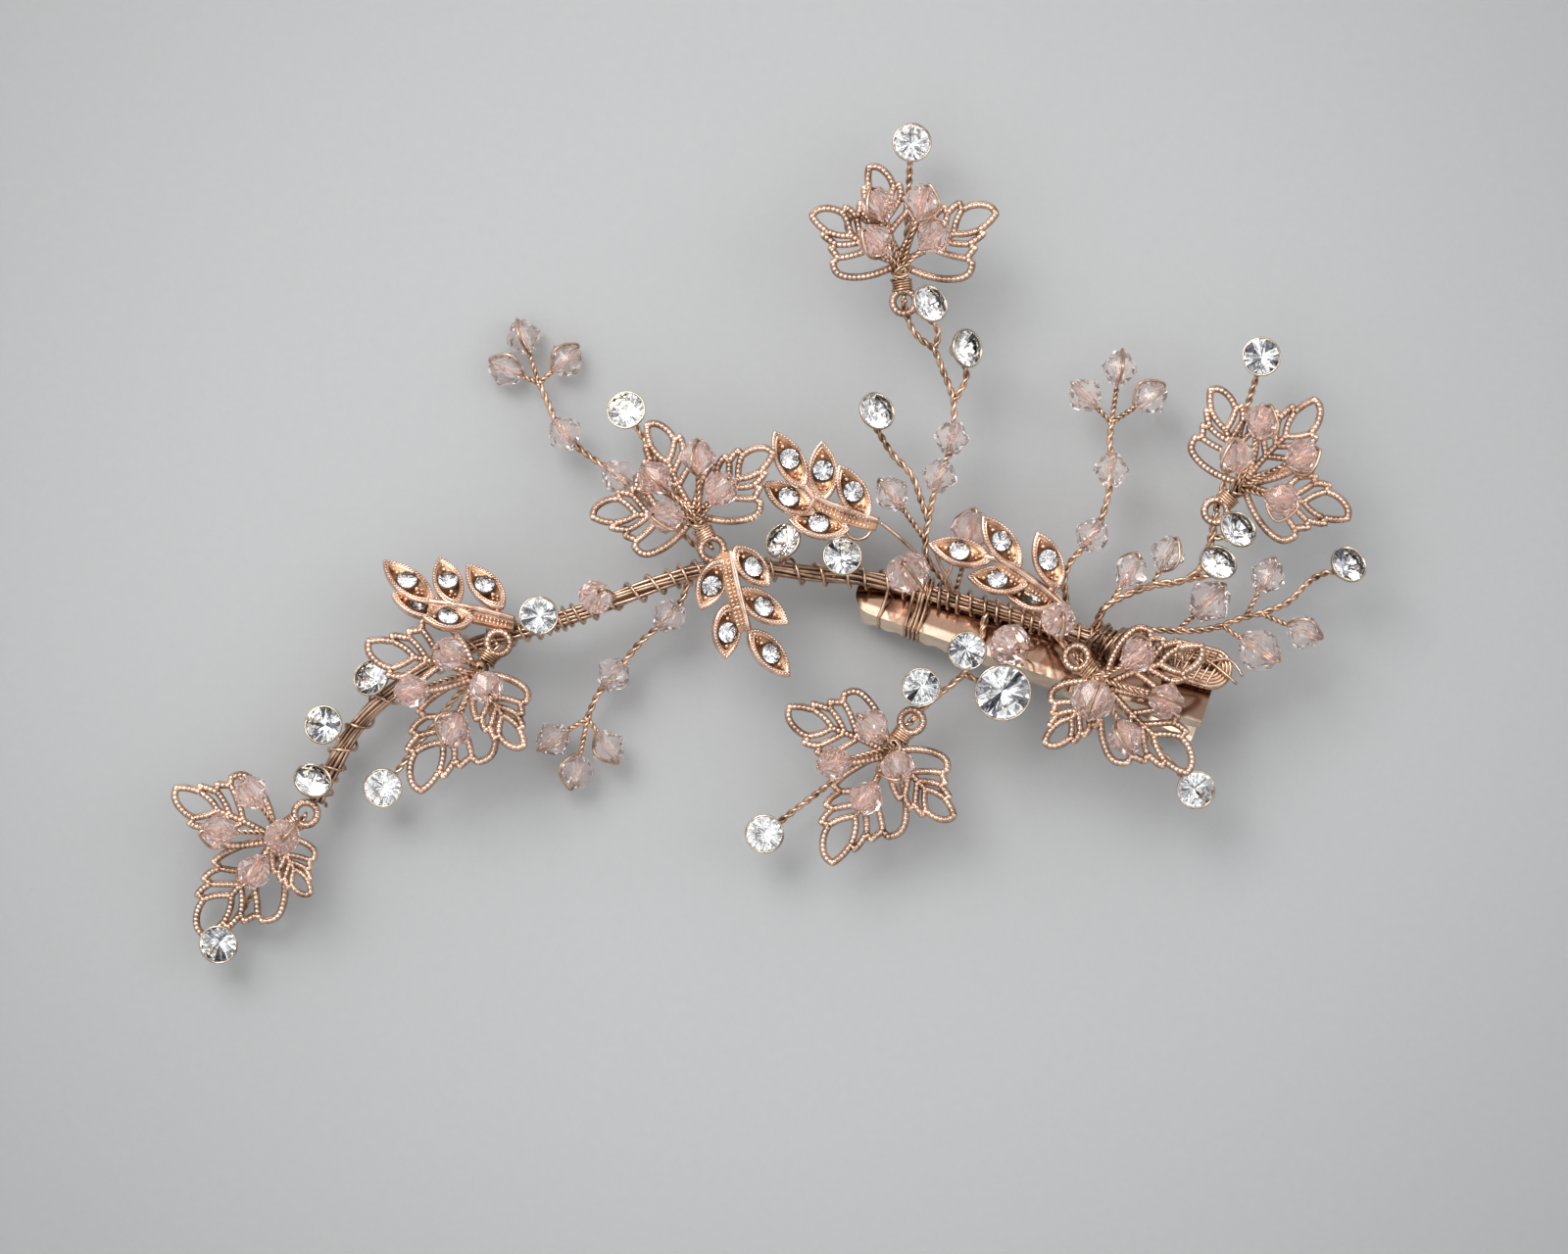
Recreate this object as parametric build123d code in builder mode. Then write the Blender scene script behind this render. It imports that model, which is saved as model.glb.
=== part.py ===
from build123d import *
import os
from math import cos, radians, sin, tan

# Bridal hair vine on an alligator clip, lying on a table. Millimetres.
# +X runs along the vine, +Z up from the table, and the origin is under the middle of the vine.

# ---- driving dimensions -------------------------------------------------------------------
SPINE_DIAMETER = 2.3
BINDING_WIRE_DIAMETER = 0.4
BINDING_RADIUS = 1.36
STEM_DIAMETER = 0.85
THICK_STEM_DIAMETER = 1.3
BEAD_WIRE_DIAMETER = 0.6
BEND_SHARE = 0.45

BEAD_DIAMETER = 4.0
LARGE_BEAD_DIAMETER = 5.0
BEAD_SIDES = 8
BEAD_LENGTH_SHARE = 0.88
BEAD_END_SHARE = 0.42
BEAD_BORE_SHARE = 0.24
WIRE_PAST_BEAD = 0.35

STONE_DIAMETER = 4.0
LARGE_STONE_DIAMETER = 6.0
STONE_SIDES = 8
STONE_GIRDLE_SHARE = 0.5
STONE_TABLE_SHARE = 0.27
STONE_TABLE_HEIGHT_SHARE = 0.16
STONE_POINT_SHARE = 0.05
STONE_POINT_DEPTH_SHARE = 0.40
CUP_WALL = 0.12
CUP_DEPTH_SHARE = 0.56
CUP_BACK_SHARE = 0.2
CUP_FLOOR_SHARE = 0.06
CUP_FLOOR_DEPTH_SHARE = 0.42
CUP_RIM_HEIGHT_SHARE = 0.05
CUP_SHOULDER_SHARE = 0.04
CUP_SEAT_SHARE = 0.03
CUP_CLEARANCE = 0.02

LEAF_THICKNESS = 0.5
LEAF_RING_RADIUS = 1.6
LEAF_RING_HOLE_RADIUS = 0.85
LEAF_HUB_RADIUS = 1.3
LEAF_HUB_DISTANCE = 3.6
LEAF_RIB_WIDTH = 0.8
LEAF_BAND = 0.5
LEAF_HUB_RAISE = 0.2
LEAF_KNOT_RADIUS = 0.9
LEAF_KNOT_RAISE = 0.6
LEAF_STEM_DROP = 0.35
LOBE_TIP_HALF_SHARE = 0.25
LOBE_TIP_WIDTH_SHARE = 0.165
LOBE_SIDE_HALF_SHARE = 0.19
LOBE_SIDE_WIDTH_SHARE = 0.1
LOBE_RIB_SHARE = 0.6
# Each pair of side loops: how far along the lobe, how far out, and its lean in degrees.
LOBE_SIDE_LOOPS = [(0.40, 0.13, 44), (0.58, 0.16, 36)]

SPRAY_THICKNESS = 1.0
SPRAY_LEAFLET_WIDTH = 3.2
SPRAY_RIB_DIAMETER = 1.0
STALK_DIAMETER = 0.7
RIB_STEPS = 8
CRYSTAL_DIAMETER = 2.3
CRYSTAL_SEAT_DEPTH = 0.5
CRYSTAL_CROWN_HEIGHT = 0.45
CRYSTAL_TABLE_SHARE = 0.55
CRYSTAL_CLEARANCE = 0.02
LEAFLET_BASE_SHARE = 1.05
STALK_FOOT_SHARE = 0.7

CLIP_FRONT = (10.0, -4.9, 5.2)
CLIP_HEADING = -16.5
CLIP_LIFT = 7.0
CLIP_ROLL = -22.0
CLIP_LENGTH = 42.0
CLIP_FRONT_WIDTH = 5.0
CLIP_REAR_WIDTH = 7.4
CLIP_SHEET = 0.6
CLIP_WALL_DEPTH = 3.3
CLIP_EAR_DEPTH = 4.2
CLIP_LEVER_WALL_DEPTH = 2.0
CLIP_EAR_LENGTH = 5.0
CLIP_SIDE_GAP = 0.15
PIN_X = 27.0
PIN_Z = -2.2
PIN_DIAMETER = 1.6
PIN_CLEARANCE = 0.05
PIN_HEAD = 0.5
PIN_HEAD_DIAMETER = 2.3
LOWER_FLOOR_Z = -4.3
LOWER_JAW_START = 1.0
LOWER_WALL_START = 19.0
LOWER_WALL_TOP_Z = -1.1
LOWER_LEVER_WALL = 1.7
LEVER_SPREAD = 22.0
TOOTH_START = 3.2
TOOTH_PITCH = 2.4
TOOTH_DEPTH = 0.8
TOOTH_COUNT = 8
SPRING_WIRE = 0.5
SPRING_LEG_WIRE = 0.4
SPRING_HALF_LENGTH = 1.5
SPRING_CLEARANCE = 0.06
SPRING_LEG = 7.0
LASHING_WIRE = 0.35
LASHING_TURNS = 3
LASHING_PITCH = 0.42
LASHING_GAP = 0.05
LASHING_TOP = (0.3, 2.7)
LASHING_TOP_Z = 2.57
LASHING_BOTTOM_Z = -2.95

SPINE_ON_CLIP_SIDE = 1.7
SPINE_ON_CLIP_HEIGHT = 1.3


# ---- the clip's own plane: X from its front tip to its lever end, Z out of its top ---------
clip_plane = Plane(
    Location(CLIP_FRONT) * Location((0, 0, 0), (0, 0, CLIP_HEADING))
    * Location((0, 0, 0), (0, -CLIP_LIFT, 0)) * Location((0, 0, 0), (CLIP_ROLL, 0, 0))
)


def on_clip(along, across, up):
    """A point given in the clip's own plane, in the vine's frame."""
    point = clip_plane.from_local_coords(Vector(along, across, up))
    return (point.X, point.Y, point.Z)


# ---- wires ---------------------------------------------------------------------------------
def bend_radii(points):
    """The radius of each bend of a wire's route, as large as its two runs allow."""
    radii = []
    for before, corner, after in zip(points, points[1:], points[2:]):
        arriving = Vector(corner) - Vector(before)
        leaving = Vector(after) - Vector(corner)
        half_turn = radians(arriving.get_angle(leaving)) / 2
        radii.append(BEND_SHARE * min(arriving.length, leaving.length) / tan(half_turn))
    return radii


def wire(points, diameter):
    """A round wire along straight runs joined by tangent arcs."""
    with BuildPart() as tube:
        with BuildLine() as route:
            if len(points) == 2:
                Line(*points)
            else:
                FilletPolyline(*points, radius=bend_radii(points))
        with BuildSketch(Plane(origin=route.line @ 0, z_dir=route.line % 0)):
            Circle(diameter / 2)
        sweep(transition=Transition.RIGHT)
    return tube.part


def through_beads(points):
    """Spread each 4-value point, a bead of that diameter, into a straight run through the bead."""
    route = []
    for index, point in enumerate(points):
        if len(point) == 3:
            route.append(point)
            continue
        direction = (Vector(points[index + 1][:3]) - Vector(points[index - 1][:3])).normalized()
        half_run = direction * (0.5 * BEAD_LENGTH_SHARE * point[3])
        centre = Vector(point[:3])
        route.append(tuple(centre - half_run))
        route.append(tuple(centre + half_run))
    return route


def threaded_beads(points):
    """The planes of the beads on a route, along the wire that threads them."""
    planes = []
    for before, point, after in zip(points, points[1:], points[2:]):
        if len(point) == 4:
            along = Vector(after[:3]) - Vector(before[:3])
            planes.append((Plane(origin=point[:3], z_dir=along), point[3]))
    return planes


def end_beads(start, beads):
    """The planes of the beads held out from one point, each along its own straight wire."""
    planes = []
    for bead in beads:
        along = Vector(bead[:3]) - Vector(start)
        planes.append((Plane(origin=bead[:3], z_dir=along), bead[3]))
    return planes


def end_wires(start, beads):
    """The straight wires that hold those beads, each running just past its bead."""
    wires = []
    for plane, diameter in end_beads(start, beads):
        past = 0.5 * BEAD_LENGTH_SHARE * diameter + WIRE_PAST_BEAD
        wires.append(wire([start, tuple(plane.origin + plane.z_dir * past)], BEAD_WIRE_DIAMETER))
    return wires


# ---- beads, stones and cups ----------------------------------------------------------------
def bicone(plane, diameter):
    """A cut crystal bead: two blunt eight-sided cones base to base, with a bore."""
    half_length = 0.5 * BEAD_LENGTH_SHARE * diameter
    with BuildPart() as bead:
        with BuildSketch(plane):
            RegularPolygon(diameter / 2, BEAD_SIDES)
        with BuildSketch(plane.offset(half_length)):
            RegularPolygon(BEAD_END_SHARE * diameter / 2, BEAD_SIDES)
        loft()
        mirror(about=plane)
        with Locations(plane):
            Hole(BEAD_BORE_SHARE * diameter / 2)
    return bead.part


def cup_depth(stone_diameter):
    return CUP_DEPTH_SHARE * stone_diameter


def stone(plane, diameter):
    """A pointed-back round stone: a table and crown above the girdle, and a deep pavilion."""
    with BuildPart() as gem:
        with BuildSketch(plane.offset(STONE_TABLE_HEIGHT_SHARE * diameter)):
            RegularPolygon(STONE_TABLE_SHARE * diameter, STONE_SIDES)
        with BuildSketch(plane):
            RegularPolygon(STONE_GIRDLE_SHARE * diameter, STONE_SIDES)
        with BuildSketch(plane.offset(-STONE_POINT_DEPTH_SHARE * diameter)):
            RegularPolygon(STONE_POINT_SHARE * diameter, STONE_SIDES)
        loft(ruled=True)
    return gem.part


def cup(plane, diameter):
    """The stone's metal setting: a conical cup whose rim stands round the girdle."""
    depth = cup_depth(diameter)
    bore = STONE_GIRDLE_SHARE * diameter + CUP_CLEARANCE
    rim = STONE_GIRDLE_SHARE * diameter + 2 * CUP_WALL
    with BuildPart() as setting:
        with BuildSketch(Plane(origin=plane.origin, x_dir=plane.x_dir, z_dir=-plane.y_dir)):
            with BuildLine():
                Polyline(
                    (0, -depth),
                    (CUP_BACK_SHARE * diameter, -depth),
                    (rim, -CUP_SHOULDER_SHARE * diameter),
                    (rim, CUP_RIM_HEIGHT_SHARE * diameter),
                    (bore, CUP_RIM_HEIGHT_SHARE * diameter),
                    (bore, -CUP_SEAT_SHARE * diameter),
                    (CUP_FLOOR_SHARE * diameter, -CUP_FLOOR_DEPTH_SHARE * diameter),
                    (0, -CUP_FLOOR_DEPTH_SHARE * diameter),
                    close=True,
                )
            make_face()
        revolve(axis=Axis(plane.origin, plane.z_dir))
    return setting.part


def facing_plane(centre, facing):
    return Plane(origin=centre, z_dir=Vector(facing))


def cup_back(chaton):
    """The middle of a cup's back, where its wire goes in."""
    plane = facing_plane(chaton[0], chaton[1])
    return tuple(plane.origin - plane.z_dir * (cup_depth(chaton[2]) - CUP_WALL))


# Each set stone: its girdle's centre, the way it faces, and its diameter.
chatons = {
    "leaf_1_end": ((-62.6, -45.3, 5.7), (-0.1, -0.2, 1), STONE_DIAMETER),
    "spine_left_end": ((-51.7, -26.6, 9.0), (0.3, 0.5, 0.8), STONE_DIAMETER),
    "spine_left_outer": ((-50.6, -20.3, 7.2), (-0.2, 0.1, 1), STONE_DIAMETER),
    "spine_left_inner": ((-45.1, -14.9, 8.2), (-0.4, 0.3, 0.85), STONE_DIAMETER),
    "leaf_2_end": ((-43.9, -27.5, 6.0), (-0.1, -0.1, 1), STONE_DIAMETER),
    "spine_middle": ((-26.0, -7.9, 12.1), (0.05, 0.1, 1), STONE_DIAMETER),
    "leaf_3_end": ((-16.2, 15.4, 8.0), (-0.15, 0.25, 0.95), STONE_DIAMETER),
    "spine_right_tilted": ((1.6, 0.6, 9.9), (-0.45, 0.35, 0.8), STONE_DIAMETER),
    "spine_right": ((8.3, -1.2, 11.2), (0.1, 0.25, 1), STONE_DIAMETER),
    "branch_d_left": ((12.2, 15.2, 11.6), (0.45, 0.3, 0.83), STONE_DIAMETER),
    "leaf_4_end": ((16.2, 45.7, 9.0), (0.05, 0.1, 1), STONE_DIAMETER),
    "branch_d_upper": ((18.2, 27.3, 13.0), (0.5, 0.3, 0.8), STONE_DIAMETER),
    "branch_d_right": ((22.4, 22.3, 11.5), (0.65, 0.1, 0.75), STONE_DIAMETER),
    "leaf_5_end": ((55.7, 21.4, 10.5), (-0.1, 0.05, 1), STONE_DIAMETER),
    "branch_e_upper": ((52.8, 1.8, 15.4), (0.4, 0.4, 0.8), STONE_DIAMETER),
    "branch_e_lower": ((50.6, -1.9, 14.6), (0.3, 0.5, 0.8), STONE_DIAMETER),
    "branch_f_end": ((65.5, -2.1, 11.5), (0.4, 0.4, 0.8), STONE_DIAMETER),
    "leaf_6_end": ((-0.5, -32.7, 7.0), (-0.1, -0.1, 1), STONE_DIAMETER),
    "leaf_6_base": ((17.2, -16.0, 11.2), (0, -0.1, 1), STONE_DIAMETER),
    "clip_side": ((22.4, -11.9, 12.0), (0.1, -0.15, 1), STONE_DIAMETER),
    "large": ((26.4, -16.6, 12.6), (0.05, -0.1, 1), LARGE_STONE_DIAMETER),
    "leaf_7_end": ((48.3, -27.6, 10.5), (0.15, -0.1, 1), STONE_DIAMETER),
}

# ---- the spine: a bundle of wires bound round with a thin one --------------------------------
spine_route = [
    (-51.6, -29.0, 4.6),
    (-49.3, -24.3, 5.1),
    (-46.8, -20.3, 5.6),
    (-44.0, -17.4, 6.1),
    (-39.3, -14.0, 6.9),
    (-33.1, -10.9, 7.7),
    (-27.5, -9.6, 8.3),
    (-23.8, -8.4, 8.6),
    (-17.4, -6.1, 8.9),
    (-12.6, -4.3, 9.0),
    (-7.6, -2.6, 8.9),
    (-1.0, -2.3, 8.6),
    (5.2, -3.3, 7.7),
    on_clip(1.0, 1.3, SPINE_ON_CLIP_HEIGHT + 0.2),
    on_clip(11.5, SPINE_ON_CLIP_SIDE, SPINE_ON_CLIP_HEIGHT),
    on_clip(20.5, 1.9, SPINE_ON_CLIP_HEIGHT),
    on_clip(28.5, SPINE_ON_CLIP_SIDE, SPINE_ON_CLIP_HEIGHT),
    on_clip(38.6, 2.3, SPINE_ON_CLIP_HEIGHT),
]
with BuildPart() as spine_wires:
    add(wire(spine_route, SPINE_DIAMETER))
spine_wires.part.label = "spine_wires"


def binding_rings(start, end):
    """Turns of the binding wire round one straight run of the spine, kept off its bends."""
    along = Vector(end) - Vector(start)
    straight = along.length * (1 - 2 * BEND_SHARE)
    count = max(1, int(straight / (2 * BINDING_WIRE_DIAMETER)))
    rings = []
    for turn in range(count):
        offset = 0.5 * along.length + (turn - (count - 1) / 2) * 2 * BINDING_WIRE_DIAMETER
        plane = Plane(origin=Vector(start) + along.normalized() * offset, z_dir=along)
        with BuildPart() as ring:
            with Locations(plane):
                Torus(BINDING_RADIUS, BINDING_WIRE_DIAMETER / 2)
        rings.append(ring.part)
    return rings


# The rings stop at the clip, where the lashing takes over.
binding_turns = [ring for run in zip(spine_route[:12], spine_route[1:13]) for ring in binding_rings(*run)]
with BuildPart() as spine_binding_wire:
    add(binding_turns)
spine_binding_wire.part.label = "spine_binding_wire"

# The wires double back on themselves in a flat loop at the lever end of the clip.
END_LOOP_RADIUS = 1.55
END_LOOP_WIRE = 1.5
loop_centre = clip_plane.from_local_coords(Vector(41.2, 2.4, SPINE_ON_CLIP_HEIGHT))
with BuildPart() as end_coil:
    with Locations(Plane(origin=loop_centre, z_dir=clip_plane.z_dir)):
        Torus(END_LOOP_RADIUS, END_LOOP_WIRE / 2)
end_coil.part.label = "end_coil"

# ---- alligator clip --------------------------------------------------------------------------
ear_front = PIN_X - CLIP_EAR_LENGTH / 2
ear_rear = PIN_X + CLIP_EAR_LENGTH / 2
front_half = CLIP_FRONT_WIDTH / 2
rear_half = CLIP_REAR_WIDTH / 2
side_plane = Plane(origin=clip_plane.origin, x_dir=clip_plane.x_dir, z_dir=-clip_plane.y_dir)


def jaw_half_width(along):
    """Half the upper jaw's width, which tapers from the ears to the front."""
    share = (along - front_half) / (ear_front - front_half)
    return front_half + share * (rear_half - front_half)


with BuildPart() as clip_top_jaw:
    with BuildSketch(clip_plane):
        with BuildLine():
            Polyline(
                (front_half, front_half),
                (ear_front, rear_half),
                (CLIP_LENGTH, rear_half),
                (CLIP_LENGTH, -rear_half),
                (ear_front, -rear_half),
                (front_half, -front_half),
            )
            ThreePointArc((front_half, -front_half), (0, 0), (front_half, front_half))
        make_face()
    extrude(amount=-CLIP_EAR_DEPTH)
    # Hollowed from below into a channel, open at both ends.
    with BuildSketch(clip_plane.offset(-CLIP_SHEET)):
        with BuildLine():
            Polyline(
                (-1, front_half - CLIP_SHEET),
                (front_half, front_half - CLIP_SHEET),
                (ear_front, rear_half - CLIP_SHEET),
                (CLIP_LENGTH + 1, rear_half - CLIP_SHEET),
                (CLIP_LENGTH + 1, CLIP_SHEET - rear_half),
                (ear_front, CLIP_SHEET - rear_half),
                (front_half, CLIP_SHEET - front_half),
                (-1, CLIP_SHEET - front_half),
                close=True,
            )
        make_face()
    extrude(amount=-CLIP_EAR_DEPTH, mode=Mode.SUBTRACT)
    # Its walls' lower edges: toothed along the jaw, deep at the ears, shallow along the lever.
    with BuildSketch(side_plane):
        with Locations((ear_front, -CLIP_WALL_DEPTH)):
            Rectangle(2 * ear_front, CLIP_EAR_DEPTH, align=(Align.MAX, Align.MAX))
        with Locations((ear_rear, -CLIP_LEVER_WALL_DEPTH)):
            Rectangle(CLIP_LENGTH, CLIP_EAR_DEPTH, align=(Align.MIN, Align.MAX))
        for tooth in range(TOOTH_COUNT):
            notch = TOOTH_START + tooth * TOOTH_PITCH
            with BuildLine():
                Polyline(
                    (notch - TOOTH_PITCH / 2, -CLIP_WALL_DEPTH),
                    (notch, TOOTH_DEPTH - CLIP_WALL_DEPTH),
                    (notch + TOOTH_PITCH / 2, -CLIP_WALL_DEPTH),
                    close=True,
                )
            make_face()
        with Locations((PIN_X, PIN_Z)):
            Circle(PIN_DIAMETER / 2)
    extrude(amount=CLIP_REAR_WIDTH, both=True, mode=Mode.SUBTRACT)
clip_top_jaw.part.label = "clip_top_jaw"

spread = radians(LEVER_SPREAD)
lever_run = (CLIP_LENGTH - PIN_X) * cos(spread)
lever_drop = (CLIP_LENGTH - PIN_X) * sin(spread)
lower_half = rear_half - CLIP_SHEET - CLIP_SIDE_GAP
floor_top = LOWER_FLOOR_Z + CLIP_SHEET
with BuildPart() as clip_bottom_jaw:
    # Its side profile: a flat jaw, walls that rise to ears at the pin, and a lever that slopes away.
    with BuildSketch(side_plane):
        with BuildLine():
            Polyline(
                (LOWER_JAW_START, floor_top),
                (LOWER_WALL_START, floor_top),
                (ear_front, LOWER_WALL_TOP_Z),
                (PIN_X + PIN_DIAMETER / 2, LOWER_WALL_TOP_Z),
                (ear_rear + PIN_DIAMETER / 2, LOWER_FLOOR_Z + LOWER_LEVER_WALL),
                (PIN_X + lever_run, LOWER_FLOOR_Z - lever_drop + LOWER_LEVER_WALL),
                (PIN_X + lever_run, LOWER_FLOOR_Z - lever_drop),
                (PIN_X, LOWER_FLOOR_Z),
                (LOWER_JAW_START, LOWER_FLOOR_Z),
                close=True,
            )
        make_face()
    extrude(amount=lower_half, both=True)
    # Hollowed from above between its side walls, down to the sheet's thickness.
    with BuildSketch(side_plane):
        with BuildLine():
            Polyline(
                (0, floor_top),
                (PIN_X, floor_top),
                (PIN_X + 2 * lever_run, floor_top - 2 * lever_drop),
                (PIN_X + 2 * lever_run, 0),
                (0, 0),
                close=True,
            )
        make_face()
    extrude(amount=lower_half - CLIP_SHEET, both=True, mode=Mode.SUBTRACT)
    # Narrowed towards the front, to stay inside the upper jaw's taper.
    with BuildSketch(clip_plane):
        for side in (1, -1):
            with BuildLine():
                Polyline(
                    (0, side * (front_half - CLIP_SHEET - CLIP_SIDE_GAP)),
                    (ear_front, side * lower_half),
                    (ear_front, side * rear_half),
                    (0, side * rear_half),
                    close=True,
                )
            make_face()
    extrude(amount=2 * LOWER_FLOOR_Z, mode=Mode.SUBTRACT)
    with BuildSketch(side_plane):
        with Locations((PIN_X, PIN_Z)):
            Circle(PIN_DIAMETER / 2 + PIN_CLEARANCE)
    extrude(amount=CLIP_REAR_WIDTH, both=True, mode=Mode.SUBTRACT)
clip_bottom_jaw.part.label = "clip_bottom_jaw"

# The pin is riveted in the upper ears and runs free in the lower ones.
pin_plane = Plane(origin=on_clip(PIN_X, 0, PIN_Z), x_dir=clip_plane.x_dir, z_dir=clip_plane.y_dir)
with BuildPart() as clip_hinge_pin:
    with BuildSketch(pin_plane):
        Circle(PIN_DIAMETER / 2)
    extrude(amount=rear_half, both=True)
    with BuildSketch(pin_plane.offset(rear_half)):
        Circle(PIN_HEAD_DIAMETER / 2)
    extrude(amount=PIN_HEAD)
    with BuildSketch(pin_plane.offset(-rear_half)):
        Circle(PIN_HEAD_DIAMETER / 2)
    extrude(amount=-PIN_HEAD)
clip_hinge_pin.part.label = "clip_hinge_pin"

# Torsion spring round the pin: one leg under the upper lever and one along the lower lever.
spring_inner = PIN_DIAMETER / 2 + SPRING_CLEARANCE
spring_middle = spring_inner + SPRING_WIRE / 2
upper_leg = wire(
    [
        on_clip(PIN_X, SPRING_HALF_LENGTH - SPRING_WIRE, PIN_Z + spring_middle),
        on_clip(PIN_X + SPRING_LEG, SPRING_HALF_LENGTH - SPRING_WIRE, -CLIP_SHEET - SPRING_WIRE / 2),
    ],
    SPRING_LEG_WIRE,
)
leg_start_x = PIN_X - spring_middle * sin(spread)
leg_start_z = PIN_Z - spring_middle * cos(spread)
lower_leg = wire(
    [
        on_clip(leg_start_x, SPRING_WIRE - SPRING_HALF_LENGTH, leg_start_z),
        on_clip(
            leg_start_x + SPRING_LEG * cos(spread),
            SPRING_WIRE - SPRING_HALF_LENGTH,
            leg_start_z - SPRING_LEG * sin(spread),
        ),
    ],
    SPRING_LEG_WIRE,
)
with BuildPart() as clip_spring:
    with BuildSketch(pin_plane.offset(-SPRING_HALF_LENGTH)):
        Circle(spring_inner + SPRING_WIRE)
        Circle(spring_inner, mode=Mode.SUBTRACT)
    extrude(amount=2 * SPRING_HALF_LENGTH)
    add([upper_leg, lower_leg])
clip_spring.part.label = "clip_spring"

# Lashing: turns of wire round the spine and the upper jaw, through one notch of its teeth.
with BuildPart() as clip_lashing_wire:
    for turn in range(LASHING_TURNS):
        along = TOOTH_START + 2 * TOOTH_PITCH + (turn - (LASHING_TURNS - 1) / 2) * LASHING_PITCH
        half = jaw_half_width(along) + LASHING_GAP
        turn_plane = Plane(origin=on_clip(along, 0, 0), x_dir=clip_plane.y_dir, z_dir=clip_plane.x_dir)
        with BuildSketch(turn_plane) as turn_face:
            with BuildLine():
                Polyline(
                    (-half, LASHING_BOTTOM_Z),
                    (-half, LASHING_GAP),
                    (LASHING_TOP[0], LASHING_TOP_Z),
                    (LASHING_TOP[1], LASHING_TOP_Z),
                    (half, SPINE_ON_CLIP_HEIGHT),
                    (half, LASHING_BOTTOM_Z),
                    close=True,
                )
            inner_face = make_face()
            offset(inner_face, amount=LASHING_WIRE, mode=Mode.REPLACE)
            add(inner_face, mode=Mode.SUBTRACT)
        extrude(amount=LASHING_WIRE)
clip_lashing_wire.part.label = "clip_lashing_wire"

# ---- filigree leaves: three pierced lobes on a ring, with a knot of bead wires ---------------
# Each leaf: its ring, its three lobe tips, the beads on its face and the stone past its tip.
leaves = {
    1: {
        "ring": (-52.6, -30.4, 6.4),
        "tips": [(-67.2, -27.4, 8.2), (-64.4, -44.4, 2.6), (-51.9, -39.4, 8.2)],
        "beads": [
            (-58.6, -27.9, 10.6, BEAD_DIAMETER),
            (-62.3, -32.3, 10.0, BEAD_DIAMETER),
            (-55.0, -32.9, 11.6, BEAD_DIAMETER),
            (-58.3, -36.9, 9.8, BEAD_DIAMETER),
        ],
        "stone": "leaf_1_end",
        "stem_height": 2.6,
    },
    2: {
        "ring": (-30.6, -11.0, 10.4),
        "tips": [(-45.2, -10.8, 12.4), (-39.4, -27.8, 9.4), (-27.6, -22.6, 12.2)],
        "beads": [
            (-36.0, -12.2, 14.8, BEAD_DIAMETER),
            (-31.8, -16.0, 14.8, BEAD_DIAMETER),
            (-40.3, -16.4, 14.0, BEAD_DIAMETER),
            (-35.5, -20.9, 13.8, BEAD_DIAMETER),
        ],
        "stone": "leaf_2_end",
        "stem_height": 7.2,
    },
    3: {
        "ring": (-6.4, -0.4, 11.2),
        "tips": [(-19.9, 3.2, 12.6), (-13.8, 13.6, 11.6), (0.5, 10.4, 13.6)],
        "beads": [
            (-8.0, 10.0, 14.6, BEAD_DIAMETER),
            (-5.4, 6.3, 15.4, BEAD_DIAMETER),
            (-11.6, 3.3, 14.8, BEAD_DIAMETER),
            (-12.9, 7.6, 14.2, BEAD_DIAMETER),
        ],
        "stone": "leaf_3_end",
        "stem_height": 8.6,
    },
    4: {
        "ring": (15.3, 27.6, 9.6),
        "tips": [(4.8, 37.2, 12.0), (11.3, 42.8, 11.2), (25.7, 37.5, 12.4)],
        "beads": [
            (12.4, 38.5, 13.2, BEAD_DIAMETER),
            (11.9, 34.4, 13.4, BEAD_DIAMETER),
            (17.2, 38.8, 13.2, BEAD_DIAMETER),
            (18.6, 34.8, 13.4, BEAD_DIAMETER),
        ],
        "stone": "leaf_4_end",
        "stem_height": 7.9,
    },
    5: {
        "ring": (50.5, 3.9, 11.0),
        "tips": [(49.8, 17.6, 13.0), (61.6, 16.5, 13.0), (65.3, 3.0, 12.8)],
        "beads": [
            (55.5, 14.0, 15.0, BEAD_DIAMETER),
            (52.6, 10.2, 15.2, BEAD_DIAMETER),
            (60.1, 10.1, 15.0, BEAD_DIAMETER),
            (57.8, 5.2, 15.0, BEAD_DIAMETER),
        ],
        "stone": "leaf_5_end",
        "stem_height": 9.2,
    },
    6: {
        "ring": (16.2, -19.9, 7.0),
        "tips": [(2.3, -18.2, 9.4), (7.2, -36.0, 7.2), (21.0, -30.6, 9.0)],
        "beads": [
            (11.6, -20.4, 11.0, BEAD_DIAMETER),
            (7.3, -24.6, 10.6, BEAD_DIAMETER),
            (14.6, -25.0, 10.6, BEAD_DIAMETER),
            (11.0, -28.6, 10.4, BEAD_DIAMETER),
        ],
        "stone": "leaf_6_end",
        "stem_height": 5.6,
    },
    7: {
        "ring": (34.7, -12.6, 12.8),
        "tips": [(48.7, -11.3, 15.6), (31.1, -22.2, 13.0), (47.1, -25.7, 12.8)],
        "beads": [
            (41.4, -12.4, 17.0, BEAD_DIAMETER),
            (36.4, -17.4, 16.6, LARGE_BEAD_DIAMETER),
            (40.1, -21.6, 15.8, BEAD_DIAMETER),
            (44.7, -17.5, 15.8, BEAD_DIAMETER),
        ],
        "stone": "leaf_7_end",
        "stem_height": 11.6,
    },
}
UP = Vector(0, 0, 1)


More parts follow.
